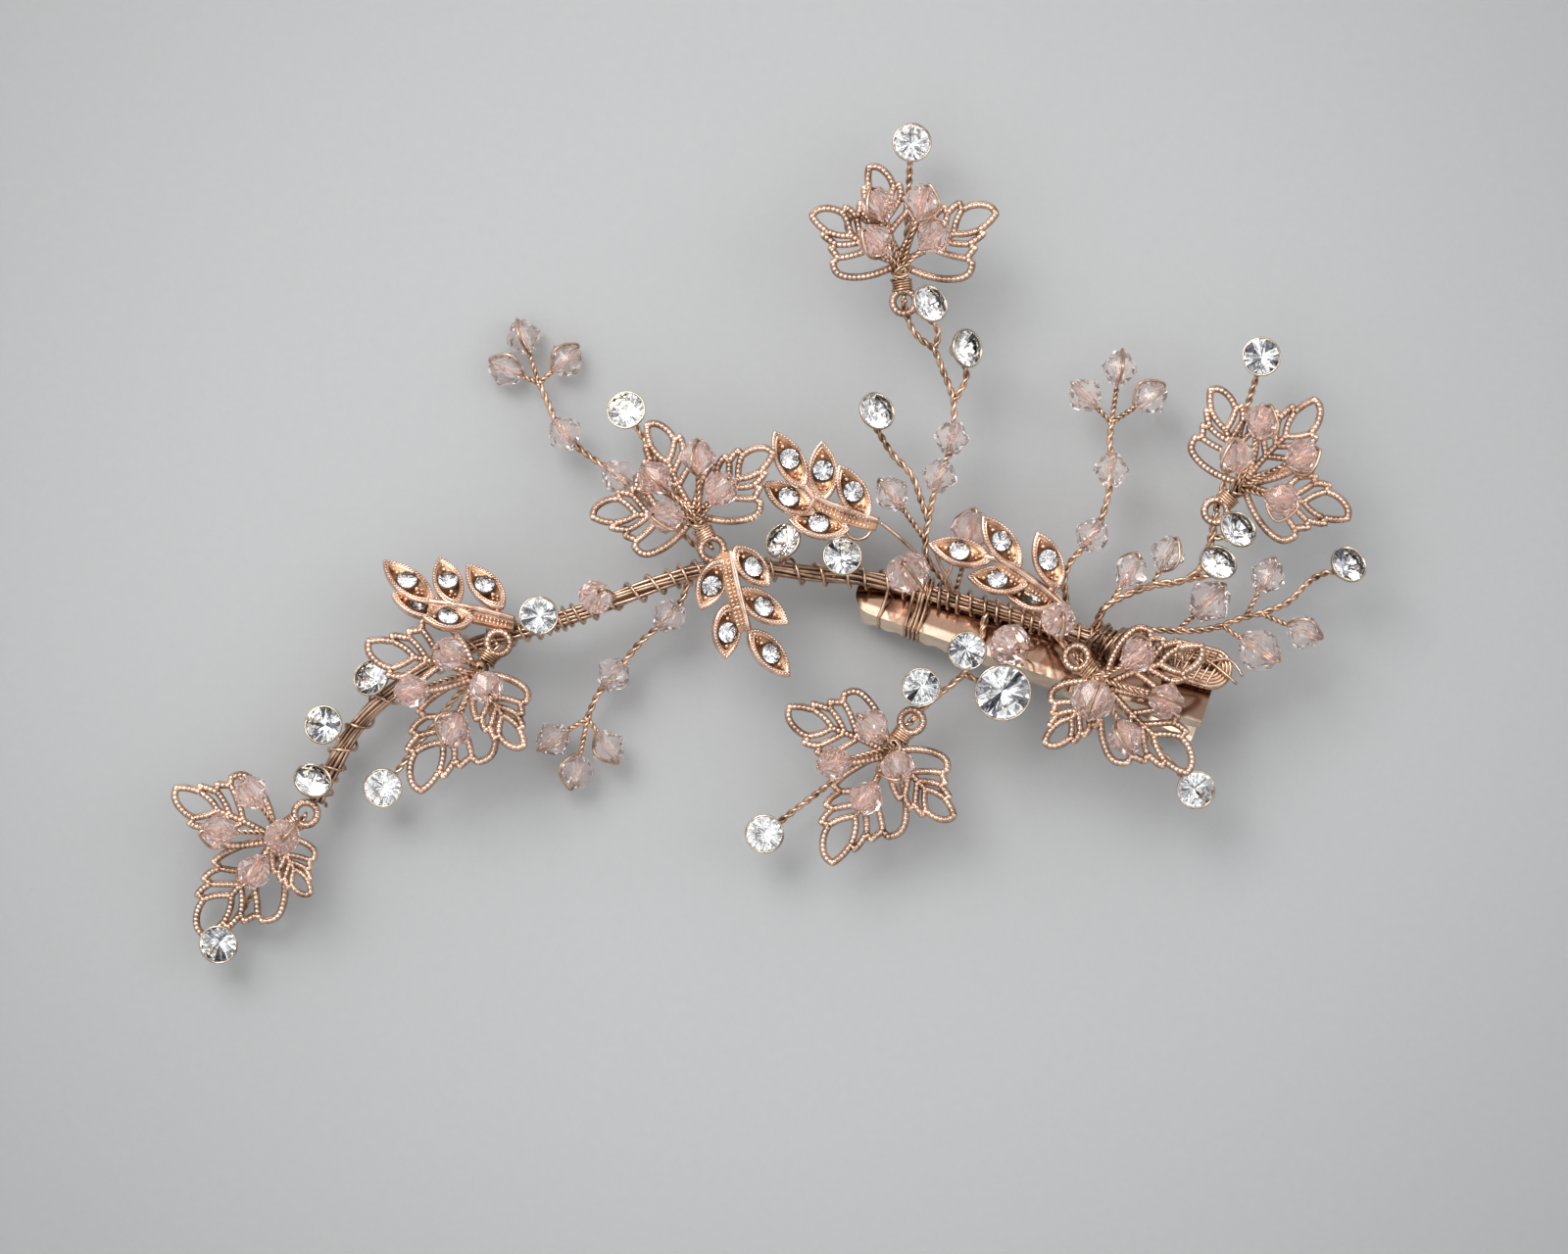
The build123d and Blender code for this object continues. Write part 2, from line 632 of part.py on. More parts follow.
def leaf_hub(leaf):
    """The middle of a leaf, where its lobes meet, set out from its ring."""
    ring = Vector(leaf["ring"])
    middle = (Vector(leaf["tips"][0]) + Vector(leaf["tips"][1]) + Vector(leaf["tips"][2])) / 3
    level = Vector(middle.X - ring.X, middle.Y - ring.Y, 0)
    return ring + level.normalized() * LEAF_HUB_DISTANCE


def lobe_loops(length, inset, mode):
    """The outlines of a lobe's loops, drawn inside themselves by the inset."""
    tip_half = LOBE_TIP_HALF_SHARE * length
    with Locations((length - tip_half, 0)):
        Ellipse(tip_half - inset, LOBE_TIP_WIDTH_SHARE * length - inset, mode=mode)
    for share, reach, lean in LOBE_SIDE_LOOPS:
        for side in (1, -1):
            with Locations(Location((share * length, side * reach * length, 0), (0, 0, side * lean))):
                Ellipse(
                    LOBE_SIDE_HALF_SHARE * length - inset, LOBE_SIDE_WIDTH_SHARE * length - inset, mode=mode
                )


def lobe(hub, tip):
    """One pierced lobe: a midrib, a wide loop at the tip and narrow loops on each side."""
    along = Vector(tip) - hub
    length = along.length
    across = UP.cross(along).normalized()
    plane = Plane(origin=hub, x_dir=along, z_dir=along.cross(across))
    rib = LOBE_RIB_SHARE * length
    with BuildPart() as blade:
        with BuildSketch(plane):
            lobe_loops(length, 0, Mode.ADD)
            lobe_loops(length, LEAF_BAND, Mode.SUBTRACT)
            with Locations((rib / 2, 0)):
                Rectangle(rib, LEAF_RIB_WIDTH)
        extrude(amount=LEAF_THICKNESS)
    return blade.part


def filigree_leaf(leaf):
    hub = leaf_hub(leaf)
    ring = Vector(leaf["ring"])
    lobes = [lobe(hub, tip) for tip in leaf["tips"]]
    with BuildPart() as body:
        with BuildSketch(Plane(origin=hub)):
            Circle(LEAF_HUB_RADIUS)
        extrude(amount=LEAF_THICKNESS + LEAF_HUB_RAISE)
        with BuildSketch(Plane(origin=ring, x_dir=hub - ring)):
            with Locations((LEAF_HUB_DISTANCE / 2, 0)):
                Rectangle(LEAF_HUB_DISTANCE, 2 * LEAF_RIB_WIDTH)
            Circle(LEAF_RING_RADIUS)
            Circle(LEAF_RING_HOLE_RADIUS, mode=Mode.SUBTRACT)
        extrude(amount=LEAF_THICKNESS)
        add(lobes)
    return body.part


def leaf_knot(leaf):
    return leaf_hub(leaf) + UP * (LEAF_THICKNESS + LEAF_KNOT_RAISE)


def leaf_stone_route(leaf):
    """The stem that runs under the leaf and out past its tip to the stone's cup."""
    ring = Vector(leaf["ring"])
    back = Vector(cup_back(chatons[leaf["stone"]]))
    middle = (ring + back) / 2
    return [tuple(ring - UP * LEAF_STEM_DROP), (middle.X, middle.Y, leaf["stem_height"]), tuple(back)]


leaf_solids = {number: filigree_leaf(leaf) for number, leaf in leaves.items()}
leaf_wire_solids = {}
leaf_bead_solids = {}
for number, leaf in leaves.items():
    knot = tuple(leaf_knot(leaf))
    leaf_wire_solids[number] = end_wires(knot, leaf["beads"])
    leaf_bead_solids[number] = [bicone(*bead) for bead in end_beads(knot, leaf["beads"])]

filigree_parts = {}
leaf_wire_parts = {}
leaf_bead_parts = {}
for number, leaf in leaves.items():
    with BuildPart() as filigree:
        add(leaf_solids[number])
    filigree.part.label = f"filigree_leaf_{number}"
    filigree_parts[filigree.part.label] = filigree.part
    with BuildPart() as bead_wires:
        with Locations(leaf_knot(leaf)):
            Cylinder(LEAF_KNOT_RADIUS, 2 * LEAF_KNOT_RADIUS)
        add(leaf_wire_solids[number])
    bead_wires.part.label = f"leaf_{number}_bead_wires"
    leaf_wire_parts[bead_wires.part.label] = bead_wires.part
    with BuildPart() as beads:
        add(leaf_bead_solids[number])
    beads.part.label = f"leaf_{number}_beads"
    leaf_bead_parts[beads.part.label] = beads.part

# ---- leaf stones' stems, and the branches twisted out of the spine ---------------------------
leaf_stone_stems = [wire(leaf_stone_route(leaf), STEM_DIAMETER) for leaf in leaves.values()]

branch_a_route = [
    (-6.0, -2.4, 8.4),
    (-8.8, 0.6, 8.2),
    (-13.0, 4.3, 8.0),
    (-17.1, 7.9, 7.2, BEAD_DIAMETER),
    (-20.0, 9.9, 5.8),
    (-23.2, 12.8, 4.6, BEAD_DIAMETER),
    (-25.0, 15.9, 3.4),
    (-26.2, 18.6, 3.0),
]
branch_a_fork = branch_a_route[-1]
branch_a_end_beads = [
    (-28.0, 23.9, 2.3, BEAD_DIAMETER),
    (-30.0, 20.2, 2.4, BEAD_DIAMETER),
    (-23.2, 21.3, 2.4, BEAD_DIAMETER),
]

branch_b_route = [
    (-8.9, -2.9, 8.6),
    (-9.5, -5.3, 8.0),
    (-11.3, -7.9, 7.0, BEAD_DIAMETER),
    (-14.6, -10.8, 5.6),
    (-17.7, -14.6, 4.6, BEAD_DIAMETER),
    (-19.8, -17.2, 3.8),
    (-20.7, -19.6, 3.6),
]
branch_b_fork = branch_b_route[-1]
branch_b_end_beads = [
    (-24.6, -22.0, 3.4, BEAD_DIAMETER),
    (-18.3, -22.9, 3.8, BEAD_DIAMETER),
    (-21.9, -25.7, 3.2, BEAD_DIAMETER),
]

branch_c_route = [
    on_clip(24.6, 2.6, SPINE_ON_CLIP_HEIGHT + 0.3),
    (33.2, -4.6, 8.6),
    (34.0, -1.8, 8.8),
    (36.6, 1.2, 9.0, BEAD_DIAMETER),
    (38.2, 4.6, 8.8),
    (38.8, 8.6, 8.2, BEAD_DIAMETER),
    (38.6, 11.8, 7.4),
    (38.9, 14.0, 7.0),
]
branch_c_fork = branch_c_route[-1]
branch_c_end_beads = [
    (35.9, 17.1, 6.8, BEAD_DIAMETER),
    (39.8, 20.2, 6.6, BEAD_DIAMETER),
    (43.3, 16.9, 6.8, BEAD_DIAMETER),
]

branch_d_route = [
    on_clip(10.3, 2.6, SPINE_ON_CLIP_HEIGHT + 0.6),
    (17.8, -1.9, 9.4),
    (17.6, 0.6, 9.8),
    (18.3, 4.2, 10.0),
    (19.3, 7.9, 10.0, BEAD_DIAMETER),
    (20.2, 10.0, 10.0),
    (20.7, 12.2, 10.0, BEAD_DIAMETER),
    (21.0, 15.4, 9.9),
    (20.8, 17.2, 9.8),
    (19.6, 20.0, 9.6),
    (18.8, 22.4, 9.4),
    (17.0, 23.4, 9.2),
    (15.6, 25.6, 9.0),
    (15.2, 27.8, 9.0),
]
branch_d_left_route = [
    (18.0, 3.0, 9.9),
    (17.2, 5.0, 10.0),
    (16.4, 8.0, 9.9),
    (13.8, 10.4, 9.6),
    (12.3, 13.2, 9.4),
    cup_back(chatons["branch_d_left"]),
]
branch_d_right_route = [
    (20.9, 16.4, 9.8),
    (22.4, 18.4, 9.6),
    (22.3, 20.6, 9.8),
    cup_back(chatons["branch_d_right"]),
]
branch_d_upper_route = [
    (18.8, 22.4, 9.4),
    (19.5, 24.2, 9.6),
    (18.2, 25.6, 10.4),
    cup_back(chatons["branch_d_upper"]),
]
branch_d_side_start = (17.6, 0.8, 9.8)
branch_d_side_beads = [(13.9, 5.9, 10.2, BEAD_DIAMETER)]

branch_e_route = [
    on_clip(27.4, 2.4, SPINE_ON_CLIP_HEIGHT + 0.4),
    (37.2, -7.4, 10.6),
    (39.6, -5.9, 11.2),
    (43.6, -4.4, 11.4),
    (46.6, -4.3, 11.2),
    (48.8, -2.8, 10.8),
    (49.9, 0.2, 10.4),
    (50.5, 3.6, 10.4),
]
branch_e_upper_route = [
    (50.0, 0.8, 10.4),
    (52.4, 1.2, 11.6),
    cup_back(chatons["branch_e_upper"]),
]
branch_e_lower_route = [
    (47.4, -3.8, 11.0),
    (50.2, -3.4, 11.0),
    cup_back(chatons["branch_e_lower"]),
]
branch_e_bead_starts = [
    ((38.8, -6.2, 11.0), (40.9, -2.9, 12.2, BEAD_DIAMETER)),
    ((43.4, -4.4, 11.4), (45.0, -0.9, 12.4, BEAD_DIAMETER)),
]

branch_f_route = [
    on_clip(30.8, 2.6, SPINE_ON_CLIP_HEIGHT + 0.4),
    (42.6, -9.4, 11.0),
    (46.1, -9.7, 11.2),
    (50.2, -9.5, 11.2),
    (53.2, -8.2, 11.0),
    (55.6, -7.7, 10.8),
    (58.8, -6.6, 10.2),
    (61.0, -4.0, 9.6),
    (63.4, -2.8, 9.4),
    cup_back(chatons["branch_f_end"]),
]
branch_f_bead_starts = [
    ((53.9, -8.0, 11.0), (56.4, -3.4, 11.2, BEAD_DIAMETER)),
    ((55.6, -7.7, 10.8), (60.5, -9.8, 10.8, BEAD_DIAMETER)),
    ((46.0, -9.7, 11.2), (49.8, -6.3, 11.7, LARGE_BEAD_DIAMETER)),
    ((51.2, -9.1, 11.2), (55.4, -11.8, 11.4, LARGE_BEAD_DIAMETER)),
]

leaf_6_route = [
    on_clip(15.0, 0.6, SPINE_ON_CLIP_HEIGHT + 0.6),
    on_clip(15.6, -3.2, 1.4),
    (22.2, -14.6, 8.8),
    (19.6, -16.6, 8.0),
    (17.4, -18.4, 6.6),
    (16.0, -20.0, 6.4),
]
leaf_7_route = [
    on_clip(22.0, 1.8, SPINE_ON_CLIP_HEIGHT + 0.4),
    (33.2, -11.0, 11.8),
    (34.8, -12.7, 12.3),
]

# Short stems from the spine to the stones set along it.
spine_stone_routes = [
    [(-50.6, -26.9, 4.9), (-51.4, -27.2, 6.6), cup_back(chatons["spine_left_end"])],
    [(-48.2, -22.2, 5.4), (-50.2, -21.2, 4.9), cup_back(chatons["spine_left_outer"])],
    [(-44.0, -17.3, 6.2), (-45.0, -15.9, 6.2), cup_back(chatons["spine_left_inner"])],
    [(-26.0, -9.1, 8.6), cup_back(chatons["spine_middle"])],
    [(1.2, -2.7, 8.4), (1.9, -0.6, 8.4), cup_back(chatons["spine_right_tilted"])],
    [(7.2, -3.6, 7.4), (8.3, -1.9, 7.8), cup_back(chatons["spine_right"])],
]
leaf_6_base_route = [(19.6, -16.6, 8.0), (18.2, -16.6, 8.4), cup_back(chatons["leaf_6_base"])]
clip_side_route = [on_clip(15.4, -1.9, 1.6), cup_back(chatons["clip_side"])]
large_stone_route = [(22.2, -14.6, 8.8), (25.2, -16.0, 8.9), cup_back(chatons["large"])]

# Beads wired straight onto the spine and over the clip.
spine_bead_starts = [
    ((-20.6, -7.2, 8.7), (-19.6, -5.8, 11.9, BEAD_DIAMETER)),
    (on_clip(6.6, 1.4, 1.8), (15.7, -3.0, 10.4, LARGE_BEAD_DIAMETER)),
    (on_clip(11.0, 2.4, 1.6), (23.0, 1.6, 8.5, LARGE_BEAD_DIAMETER)),
    (on_clip(16.6, -1.4, 1.4), (27.2, -11.3, 12.6, LARGE_BEAD_DIAMETER)),
    (on_clip(22.4, 0.6, 2.2), (32.6, -8.4, 14.2, BEAD_DIAMETER)),
]

# Each stem: its routes with their diameters, and the beads held out on single wires.
stems = {
    "branch_a_stem": ([(branch_a_route, STEM_DIAMETER)], [(branch_a_fork, branch_a_end_beads)]),
    "branch_b_stem": ([(branch_b_route, STEM_DIAMETER)], [(branch_b_fork, branch_b_end_beads)]),
    "branch_c_stem": ([(branch_c_route, STEM_DIAMETER)], [(branch_c_fork, branch_c_end_beads)]),
    "branch_d_stem": (
        [
            (branch_d_route, STEM_DIAMETER),
            (branch_d_left_route, STEM_DIAMETER),
            (branch_d_right_route, STEM_DIAMETER),
            (branch_d_upper_route, STEM_DIAMETER),
        ],
        [(branch_d_side_start, branch_d_side_beads)],
    ),
    "branch_e_stem": (
        [
            (branch_e_route, THICK_STEM_DIAMETER),
            (branch_e_upper_route, STEM_DIAMETER),
            (branch_e_lower_route, STEM_DIAMETER),
        ],
        [(start, [bead]) for start, bead in branch_e_bead_starts],
    ),
    "branch_f_stem": (
        [(branch_f_route, STEM_DIAMETER)],
        [(start, [bead]) for start, bead in branch_f_bead_starts],
    ),
    "leaf_6_stem": (
        [
            (leaf_6_route, THICK_STEM_DIAMETER),
            (leaf_6_base_route, STEM_DIAMETER),
            (clip_side_route, STEM_DIAMETER),
            (large_stone_route, STEM_DIAMETER),
        ],
        [],
    ),
    "leaf_7_stem": ([(leaf_7_route, STEM_DIAMETER)], []),
    "spine_stone_stems": ([(route, STEM_DIAMETER) for route in spine_stone_routes], []),
    "spine_bead_wires": ([], [(start, [bead]) for start, bead in spine_bead_starts]),
}
stem_solids = {}
stem_bead_solids = {}
for name, (routes, held) in stems.items():
    stem_solids[name] = [wire(through_beads(route), diameter) for route, diameter in routes]
    stem_bead_solids[name] = []
    for route, diameter in routes:
        stem_bead_solids[name] += [bicone(*bead) for bead in threaded_beads(route)]
    for start, beads in held:
        stem_solids[name] += end_wires(start, beads)
        stem_bead_solids[name] += [bicone(*bead) for bead in end_beads(start, beads)]

stem_parts = {}
for name, solids in stem_solids.items():
    with BuildPart() as stem:
        add(solids)
    stem.part.label = name
    stem_parts[name] = stem.part
for name, solids in stem_bead_solids.items():
    if solids:
        with BuildPart() as beads:
            add(solids)
        beads.part.label = "spine_beads" if name == "spine_bead_wires" else name.replace("_stem", "_beads")
        stem_parts[beads.part.label] = beads.part
with BuildPart() as leaf_stone_stem_group:
    add(leaf_stone_stems)
leaf_stone_stem_group.part.label = "leaf_stone_stems"
stem_parts["leaf_stone_stems"] = leaf_stone_stem_group.part

# ---- set stones ------------------------------------------------------------------------------
cups = {"small": [], "large": []}
stones = {"small": [], "large": []}
for centre, facing, diameter in chatons.values():
    size = "large" if diameter == LARGE_STONE_DIAMETER else "small"
    plane = facing_plane(centre, facing)
    cups[size].append(cup(plane, diameter))
    stones[size].append(stone(plane, diameter))
stone_parts = {}
for size in ("small", "large"):
    with BuildPart() as stone_cups:
        add(cups[size])
    stone_cups.part.label = f"stone_cups_{size}"
    stone_parts[stone_cups.part.label] = stone_cups.part
    with BuildPart() as set_stones:
        add(stones[size])
    set_stones.part.label = f"set_stones_{size}"
    stone_parts[set_stones.part.label] = set_stones.part

# ---- cast leaf sprays: five small leaves on a midrib, a round crystal seated in each ----------
# Each spray: its stem end, its midrib, the way its face looks, and (crystal, tip) for each leaflet.
sprays = {
    1: {
        "rib": [(-28.8, -8.6, 9.9), (-33.5, -7.2, 10.3), (-38.5, -6.6, 10.1)],
        "facing": (0.05, 0.62, 0.78),
        "leaflets": [
            ((-41.0, -3.9, 9.2), (-43.8, -1.6, 7.8)),
            ((-36.4, -3.9, 9.2), (-37.4, -1.2, 7.4)),
            ((-32.2, -4.4, 9.4), (-34.3, -2.0, 8.0)),
            ((-39.6, -6.5, 10.0), (-42.8, -5.4, 9.5)),
            ((-36.2, -8.0, 12.9), (-39.0, -8.0, 13.4)),
        ],
    },
    2: {
        "rib": [(-4.4, -0.6, 12.4), (-3.6, -4.6, 12.6), (-2.3, -9.6, 12.0)],
        "facing": (0.1, -0.1, 1),
        "leaflets": [
            ((-1.8, -2.4, 12.5), (0.2, -4.6, 12.1)),
            ((-6.5, -4.5, 12.5), (-7.7, -7.3, 12.1)),
            ((-0.6, -6.9, 12.0), (2.3, -8.8, 11.7)),
            ((-4.7, -9.8, 12.1), (-4.8, -12.9, 11.8)),
            ((0.2, -12.2, 11.6), (2.4, -14.8, 11.2)),
        ],
    },
    3: {
        "rib": [(12.4, 2.8, 11.2), (9.0, 3.7, 11.7), (5.2, 5.4, 11.8)],
        "facing": (-0.1, 0.15, 1),
        "leaflets": [
            ((2.3, 9.8, 11.9), (0.6, 13.0, 12.0)),
            ((6.1, 8.5, 12.2), (6.0, 11.9, 12.2)),
            ((9.5, 6.1, 12.0), (7.9, 9.2, 12.0)),
            ((2.2, 5.5, 11.5), (-0.7, 7.2, 11.3)),
            ((5.6, 2.5, 11.8), (2.2, 3.0, 11.9)),
        ],
    },
    4: {
        "rib": [(33.5, -7.0, 11.9), (30.0, -3.7, 12.6), (26.2, -1.6, 12.8)],
        "facing": (-0.1, -0.15, 1),
        "leaflets": [
            ((21.5, -0.6, 12.2), (18.0, 0.3, 12.1)),
            ((26.2, 0.5, 12.9), (24.1, 3.4, 12.8)),
            ((31.5, -1.6, 12.7), (30.3, 1.6, 12.9)),
            ((25.8, -3.8, 12.3), (22.4, -3.4, 11.9)),
            ((29.8, -5.7, 11.9), (26.6, -5.2, 11.5)),
        ],
    },
}


def leaflet_plane(crystal, tip, facing):
    """The plane of one leaflet's face, at its crystal, with X towards its tip."""
    along = Vector(tip) - Vector(crystal)
    across = Vector(facing).cross(along)
    return Plane(origin=crystal, x_dir=along, z_dir=along.cross(across))


def leaflet(crystal, tip, facing):
    """A pointed oval leaf with a round seat sunk in it."""
    plane = leaflet_plane(crystal, tip, facing)
    reach = (Vector(tip) - Vector(crystal)).length
    base = -LEAFLET_BASE_SHARE * reach
    middle = (reach + base) / 2
    with BuildPart() as blade:
        with BuildSketch(plane):
            with BuildLine():
                ThreePointArc((base, 0), (middle, SPRAY_LEAFLET_WIDTH / 2), (reach, 0))
                ThreePointArc((reach, 0), (middle, -SPRAY_LEAFLET_WIDTH / 2), (base, 0))
            make_face()
        extrude(amount=-SPRAY_THICKNESS)
    return blade.part


def nearest_on_rib(rib, place):
    """The point of a spray's midrib that lies nearest to a place."""
    candidates = []
    for start, end in zip(rib, rib[1:]):
        step = (Vector(end) - Vector(start)) / RIB_STEPS
        candidates += [Vector(start) + step * count for count in range(RIB_STEPS + 1)]
    return min(candidates, key=lambda point: (point - place).length)


def stalk(rib, crystal, tip, facing):
    """The short bar from a leaflet's base to the midrib."""
    plane = leaflet_plane(crystal, tip, facing)
    reach = (Vector(tip) - Vector(crystal)).length
    base = plane.from_local_coords(Vector(-STALK_FOOT_SHARE * reach, 0, -SPRAY_THICKNESS / 2))
    return wire([tuple(base), tuple(nearest_on_rib(rib, base))], STALK_DIAMETER)


def leaflet_seat(crystal, tip, facing):
    plane = leaflet_plane(crystal, tip, facing)
    with BuildPart() as seat:
        with BuildSketch(plane.offset(-CRYSTAL_SEAT_DEPTH)):
            Circle(CRYSTAL_DIAMETER / 2)
        extrude(amount=2 * CRYSTAL_SEAT_DEPTH)
    return seat.part


def seated_crystal(crystal, tip, facing):
    """A small round stone: a short girdle in the seat, and a crown up to its table."""
    plane = leaflet_plane(crystal, tip, facing)
    radius = CRYSTAL_DIAMETER / 2 - CRYSTAL_CLEARANCE
    with BuildPart() as gem:
        with BuildSketch(plane.offset(-CRYSTAL_SEAT_DEPTH)):
            RegularPolygon(radius, STONE_SIDES)
        extrude(amount=CRYSTAL_SEAT_DEPTH)
        with BuildSketch(plane):
            RegularPolygon(radius, STONE_SIDES)
        with BuildSketch(plane.offset(CRYSTAL_CROWN_HEIGHT)):
            RegularPolygon(CRYSTAL_TABLE_SHARE * radius, STONE_SIDES)
        loft()
    return gem.part


spray_solids = {}
spray_seats = {}
spray_crystals = []
for number, spray in sprays.items():
    facing = spray["facing"]
    spray_solids[number] = [wire(spray["rib"], SPRAY_RIB_DIAMETER)]
    spray_solids[number] += [leaflet(crystal, tip, facing) for crystal, tip in spray["leaflets"]]
    spray_solids[number] += [stalk(spray["rib"], crystal, tip, facing) for crystal, tip in spray["leaflets"]]
    spray_seats[number] = [leaflet_seat(crystal, tip, facing) for crystal, tip in spray["leaflets"]]
    spray_crystals += [seated_crystal(crystal, tip, facing) for crystal, tip in spray["leaflets"]]

spray_parts = {}
for number in sprays:
    with BuildPart() as leaf_spray:
        add(spray_solids[number])
        add(spray_seats[number], mode=Mode.SUBTRACT)
    leaf_spray.part.label = f"leaf_spray_{number}"
    spray_parts[leaf_spray.part.label] = leaf_spray.part
with BuildPart() as leaf_spray_crystals:
    add(spray_crystals)
leaf_spray_crystals.part.label = "leaf_spray_crystals"

# ---- export ----------------------------------------------------------------------------------
os.makedirs("parts", exist_ok=True)
single_pieces = [
    spine_wires, spine_binding_wire, end_coil, leaf_spray_crystals,
    clip_top_jaw, clip_bottom_jaw, clip_hinge_pin, clip_spring, clip_lashing_wire,
]
pieces = [piece.part for piece in single_pieces]
for group in (filigree_parts, leaf_wire_parts, leaf_bead_parts, stem_parts, stone_parts, spray_parts):
    pieces += group.values()
for piece in pieces:
    export_step(piece, f"parts/{piece.label}.step")
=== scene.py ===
"""Looks of a bridal hair vine: bound wires, filigree leaves, cast sprays, cut beads and set stones."""

import math
import random

import bpy
import numpy as np
from mathutils import Matrix, Vector


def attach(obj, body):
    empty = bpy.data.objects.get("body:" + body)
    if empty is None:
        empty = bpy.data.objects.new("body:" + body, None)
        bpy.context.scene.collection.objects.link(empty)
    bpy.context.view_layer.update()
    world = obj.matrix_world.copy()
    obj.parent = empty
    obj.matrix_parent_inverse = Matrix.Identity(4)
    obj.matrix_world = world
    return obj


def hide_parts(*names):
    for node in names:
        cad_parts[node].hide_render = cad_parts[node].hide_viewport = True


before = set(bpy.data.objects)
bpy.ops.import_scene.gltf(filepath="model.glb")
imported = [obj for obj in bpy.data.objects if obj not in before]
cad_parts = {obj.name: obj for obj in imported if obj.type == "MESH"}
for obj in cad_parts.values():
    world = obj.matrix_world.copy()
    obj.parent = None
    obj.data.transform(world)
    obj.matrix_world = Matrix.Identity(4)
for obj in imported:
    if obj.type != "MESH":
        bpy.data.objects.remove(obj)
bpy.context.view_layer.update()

ROOT = "vine_and_upper_jaw"
LOWER_JAW = "lower_jaw"
UP = np.array((0.0, 0.0, 1.0))
FULL_TURN = 2 * math.pi
chance = random.Random(11)

# ---- sizes, in metres ------------------------------------------------------------------------
# The diameters of the set stones and the cut beads.
STONE = 0.004
LARGE_STONE = 0.006
BEAD = 0.004
LARGE_BEAD = 0.005
CUP_DEPTH_SHARE = 0.56
CUP_WALL = 0.00012

SPINE_RADIUS = 0.00098
SPINE_ON_CLIP_SIDE = 0.0017
SPINE_ON_CLIP_HEIGHT = 0.0013
BINDING_RADIUS = 0.00020
STEM_WIRE_RADIUS = 0.00021
STEM_PITCH = 0.0023
THIN_WIRE_RADIUS = 0.00017
WIRE_STEP = 0.0003

CLIP_FRONT = (0.010, -0.0049, 0.0052)
CLIP_HEADING = -16.5
CLIP_LIFT = 7.0
CLIP_ROLL = -22.0

# ---- the clip's own frame: X from its front tip to its lever end, Z out of its top -------------
clip_frame = Matrix.Translation(CLIP_FRONT)
clip_frame @= Matrix.Rotation(math.radians(CLIP_HEADING), 4, "Z")
clip_frame @= Matrix.Rotation(math.radians(-CLIP_LIFT), 4, "Y")
clip_frame @= Matrix.Rotation(math.radians(CLIP_ROLL), 4, "X")


def on_clip(along, across, up):
    """A point given in the clip's own frame, in the vine's frame."""
    return tuple(clip_frame @ Vector((along, across, up)))


def unit(vector):
    """A vector's direction, with length 1."""
    vector = np.asarray(vector, float)
    return vector / np.linalg.norm(vector)


# ---- where the CAD model puts the stones, leaves, stems and sprays -----------------------------
# Each set stone: its girdle's centre and the way it faces.
SET_STONES = {
    "leaf_1_end": ((-0.0626, -0.0453, 0.0057), (-0.1, -0.2, 1)),
    "spine_left_end": ((-0.0517, -0.0266, 0.009), (0.3, 0.5, 0.8)),
    "spine_left_outer": ((-0.0506, -0.0203, 0.0072), (-0.2, 0.1, 1)),
    "spine_left_inner": ((-0.0451, -0.0149, 0.0082), (-0.4, 0.3, 0.85)),
    "leaf_2_end": ((-0.0439, -0.0275, 0.006), (-0.1, -0.1, 1)),
    "spine_middle": ((-0.026, -0.0079, 0.0121), (0.05, 0.1, 1)),
    "leaf_3_end": ((-0.0162, 0.0154, 0.008), (-0.15, 0.25, 0.95)),
    "spine_right_tilted": ((0.0016, 0.0006, 0.0099), (-0.45, 0.35, 0.8)),
    "spine_right": ((0.0083, -0.0012, 0.0112), (0.1, 0.25, 1)),
    "branch_d_left": ((0.0122, 0.0152, 0.0116), (0.45, 0.3, 0.83)),
    "leaf_4_end": ((0.0162, 0.0457, 0.009), (0.05, 0.1, 1)),
    "branch_d_upper": ((0.0182, 0.0273, 0.013), (0.5, 0.3, 0.8)),
    "branch_d_right": ((0.0224, 0.0223, 0.0115), (0.65, 0.1, 0.75)),
    "leaf_5_end": ((0.0557, 0.0214, 0.0105), (-0.1, 0.05, 1)),
    "branch_e_upper": ((0.0528, 0.0018, 0.0154), (0.4, 0.4, 0.8)),
    "branch_e_lower": ((0.0506, -0.0019, 0.0146), (0.3, 0.5, 0.8)),
    "branch_f_end": ((0.0655, -0.0021, 0.0115), (0.4, 0.4, 0.8)),
    "leaf_6_end": ((-0.0005, -0.0327, 0.007), (-0.1, -0.1, 1)),
    "leaf_6_base": ((0.0172, -0.016, 0.0112), (0, -0.1, 1)),
    "clip_side": ((0.0224, -0.0119, 0.012), (0.1, -0.15, 1)),
    "large": ((0.0264, -0.0166, 0.0126), (0.05, -0.1, 1)),
    "leaf_7_end": ((0.0483, -0.0276, 0.0105), (0.15, -0.1, 1)),
}
CHATONS = {}
for name, (centre, facing) in SET_STONES.items():
    CHATONS[name] = (centre, facing, LARGE_STONE if name == "large" else STONE)


def cup_back(name):
    """The middle of a cup's back, where its stem goes in."""
    centre, facing, diameter = CHATONS[name]
    return tuple(np.array(centre) - unit(facing) * (CUP_DEPTH_SHARE * diameter - CUP_WALL))


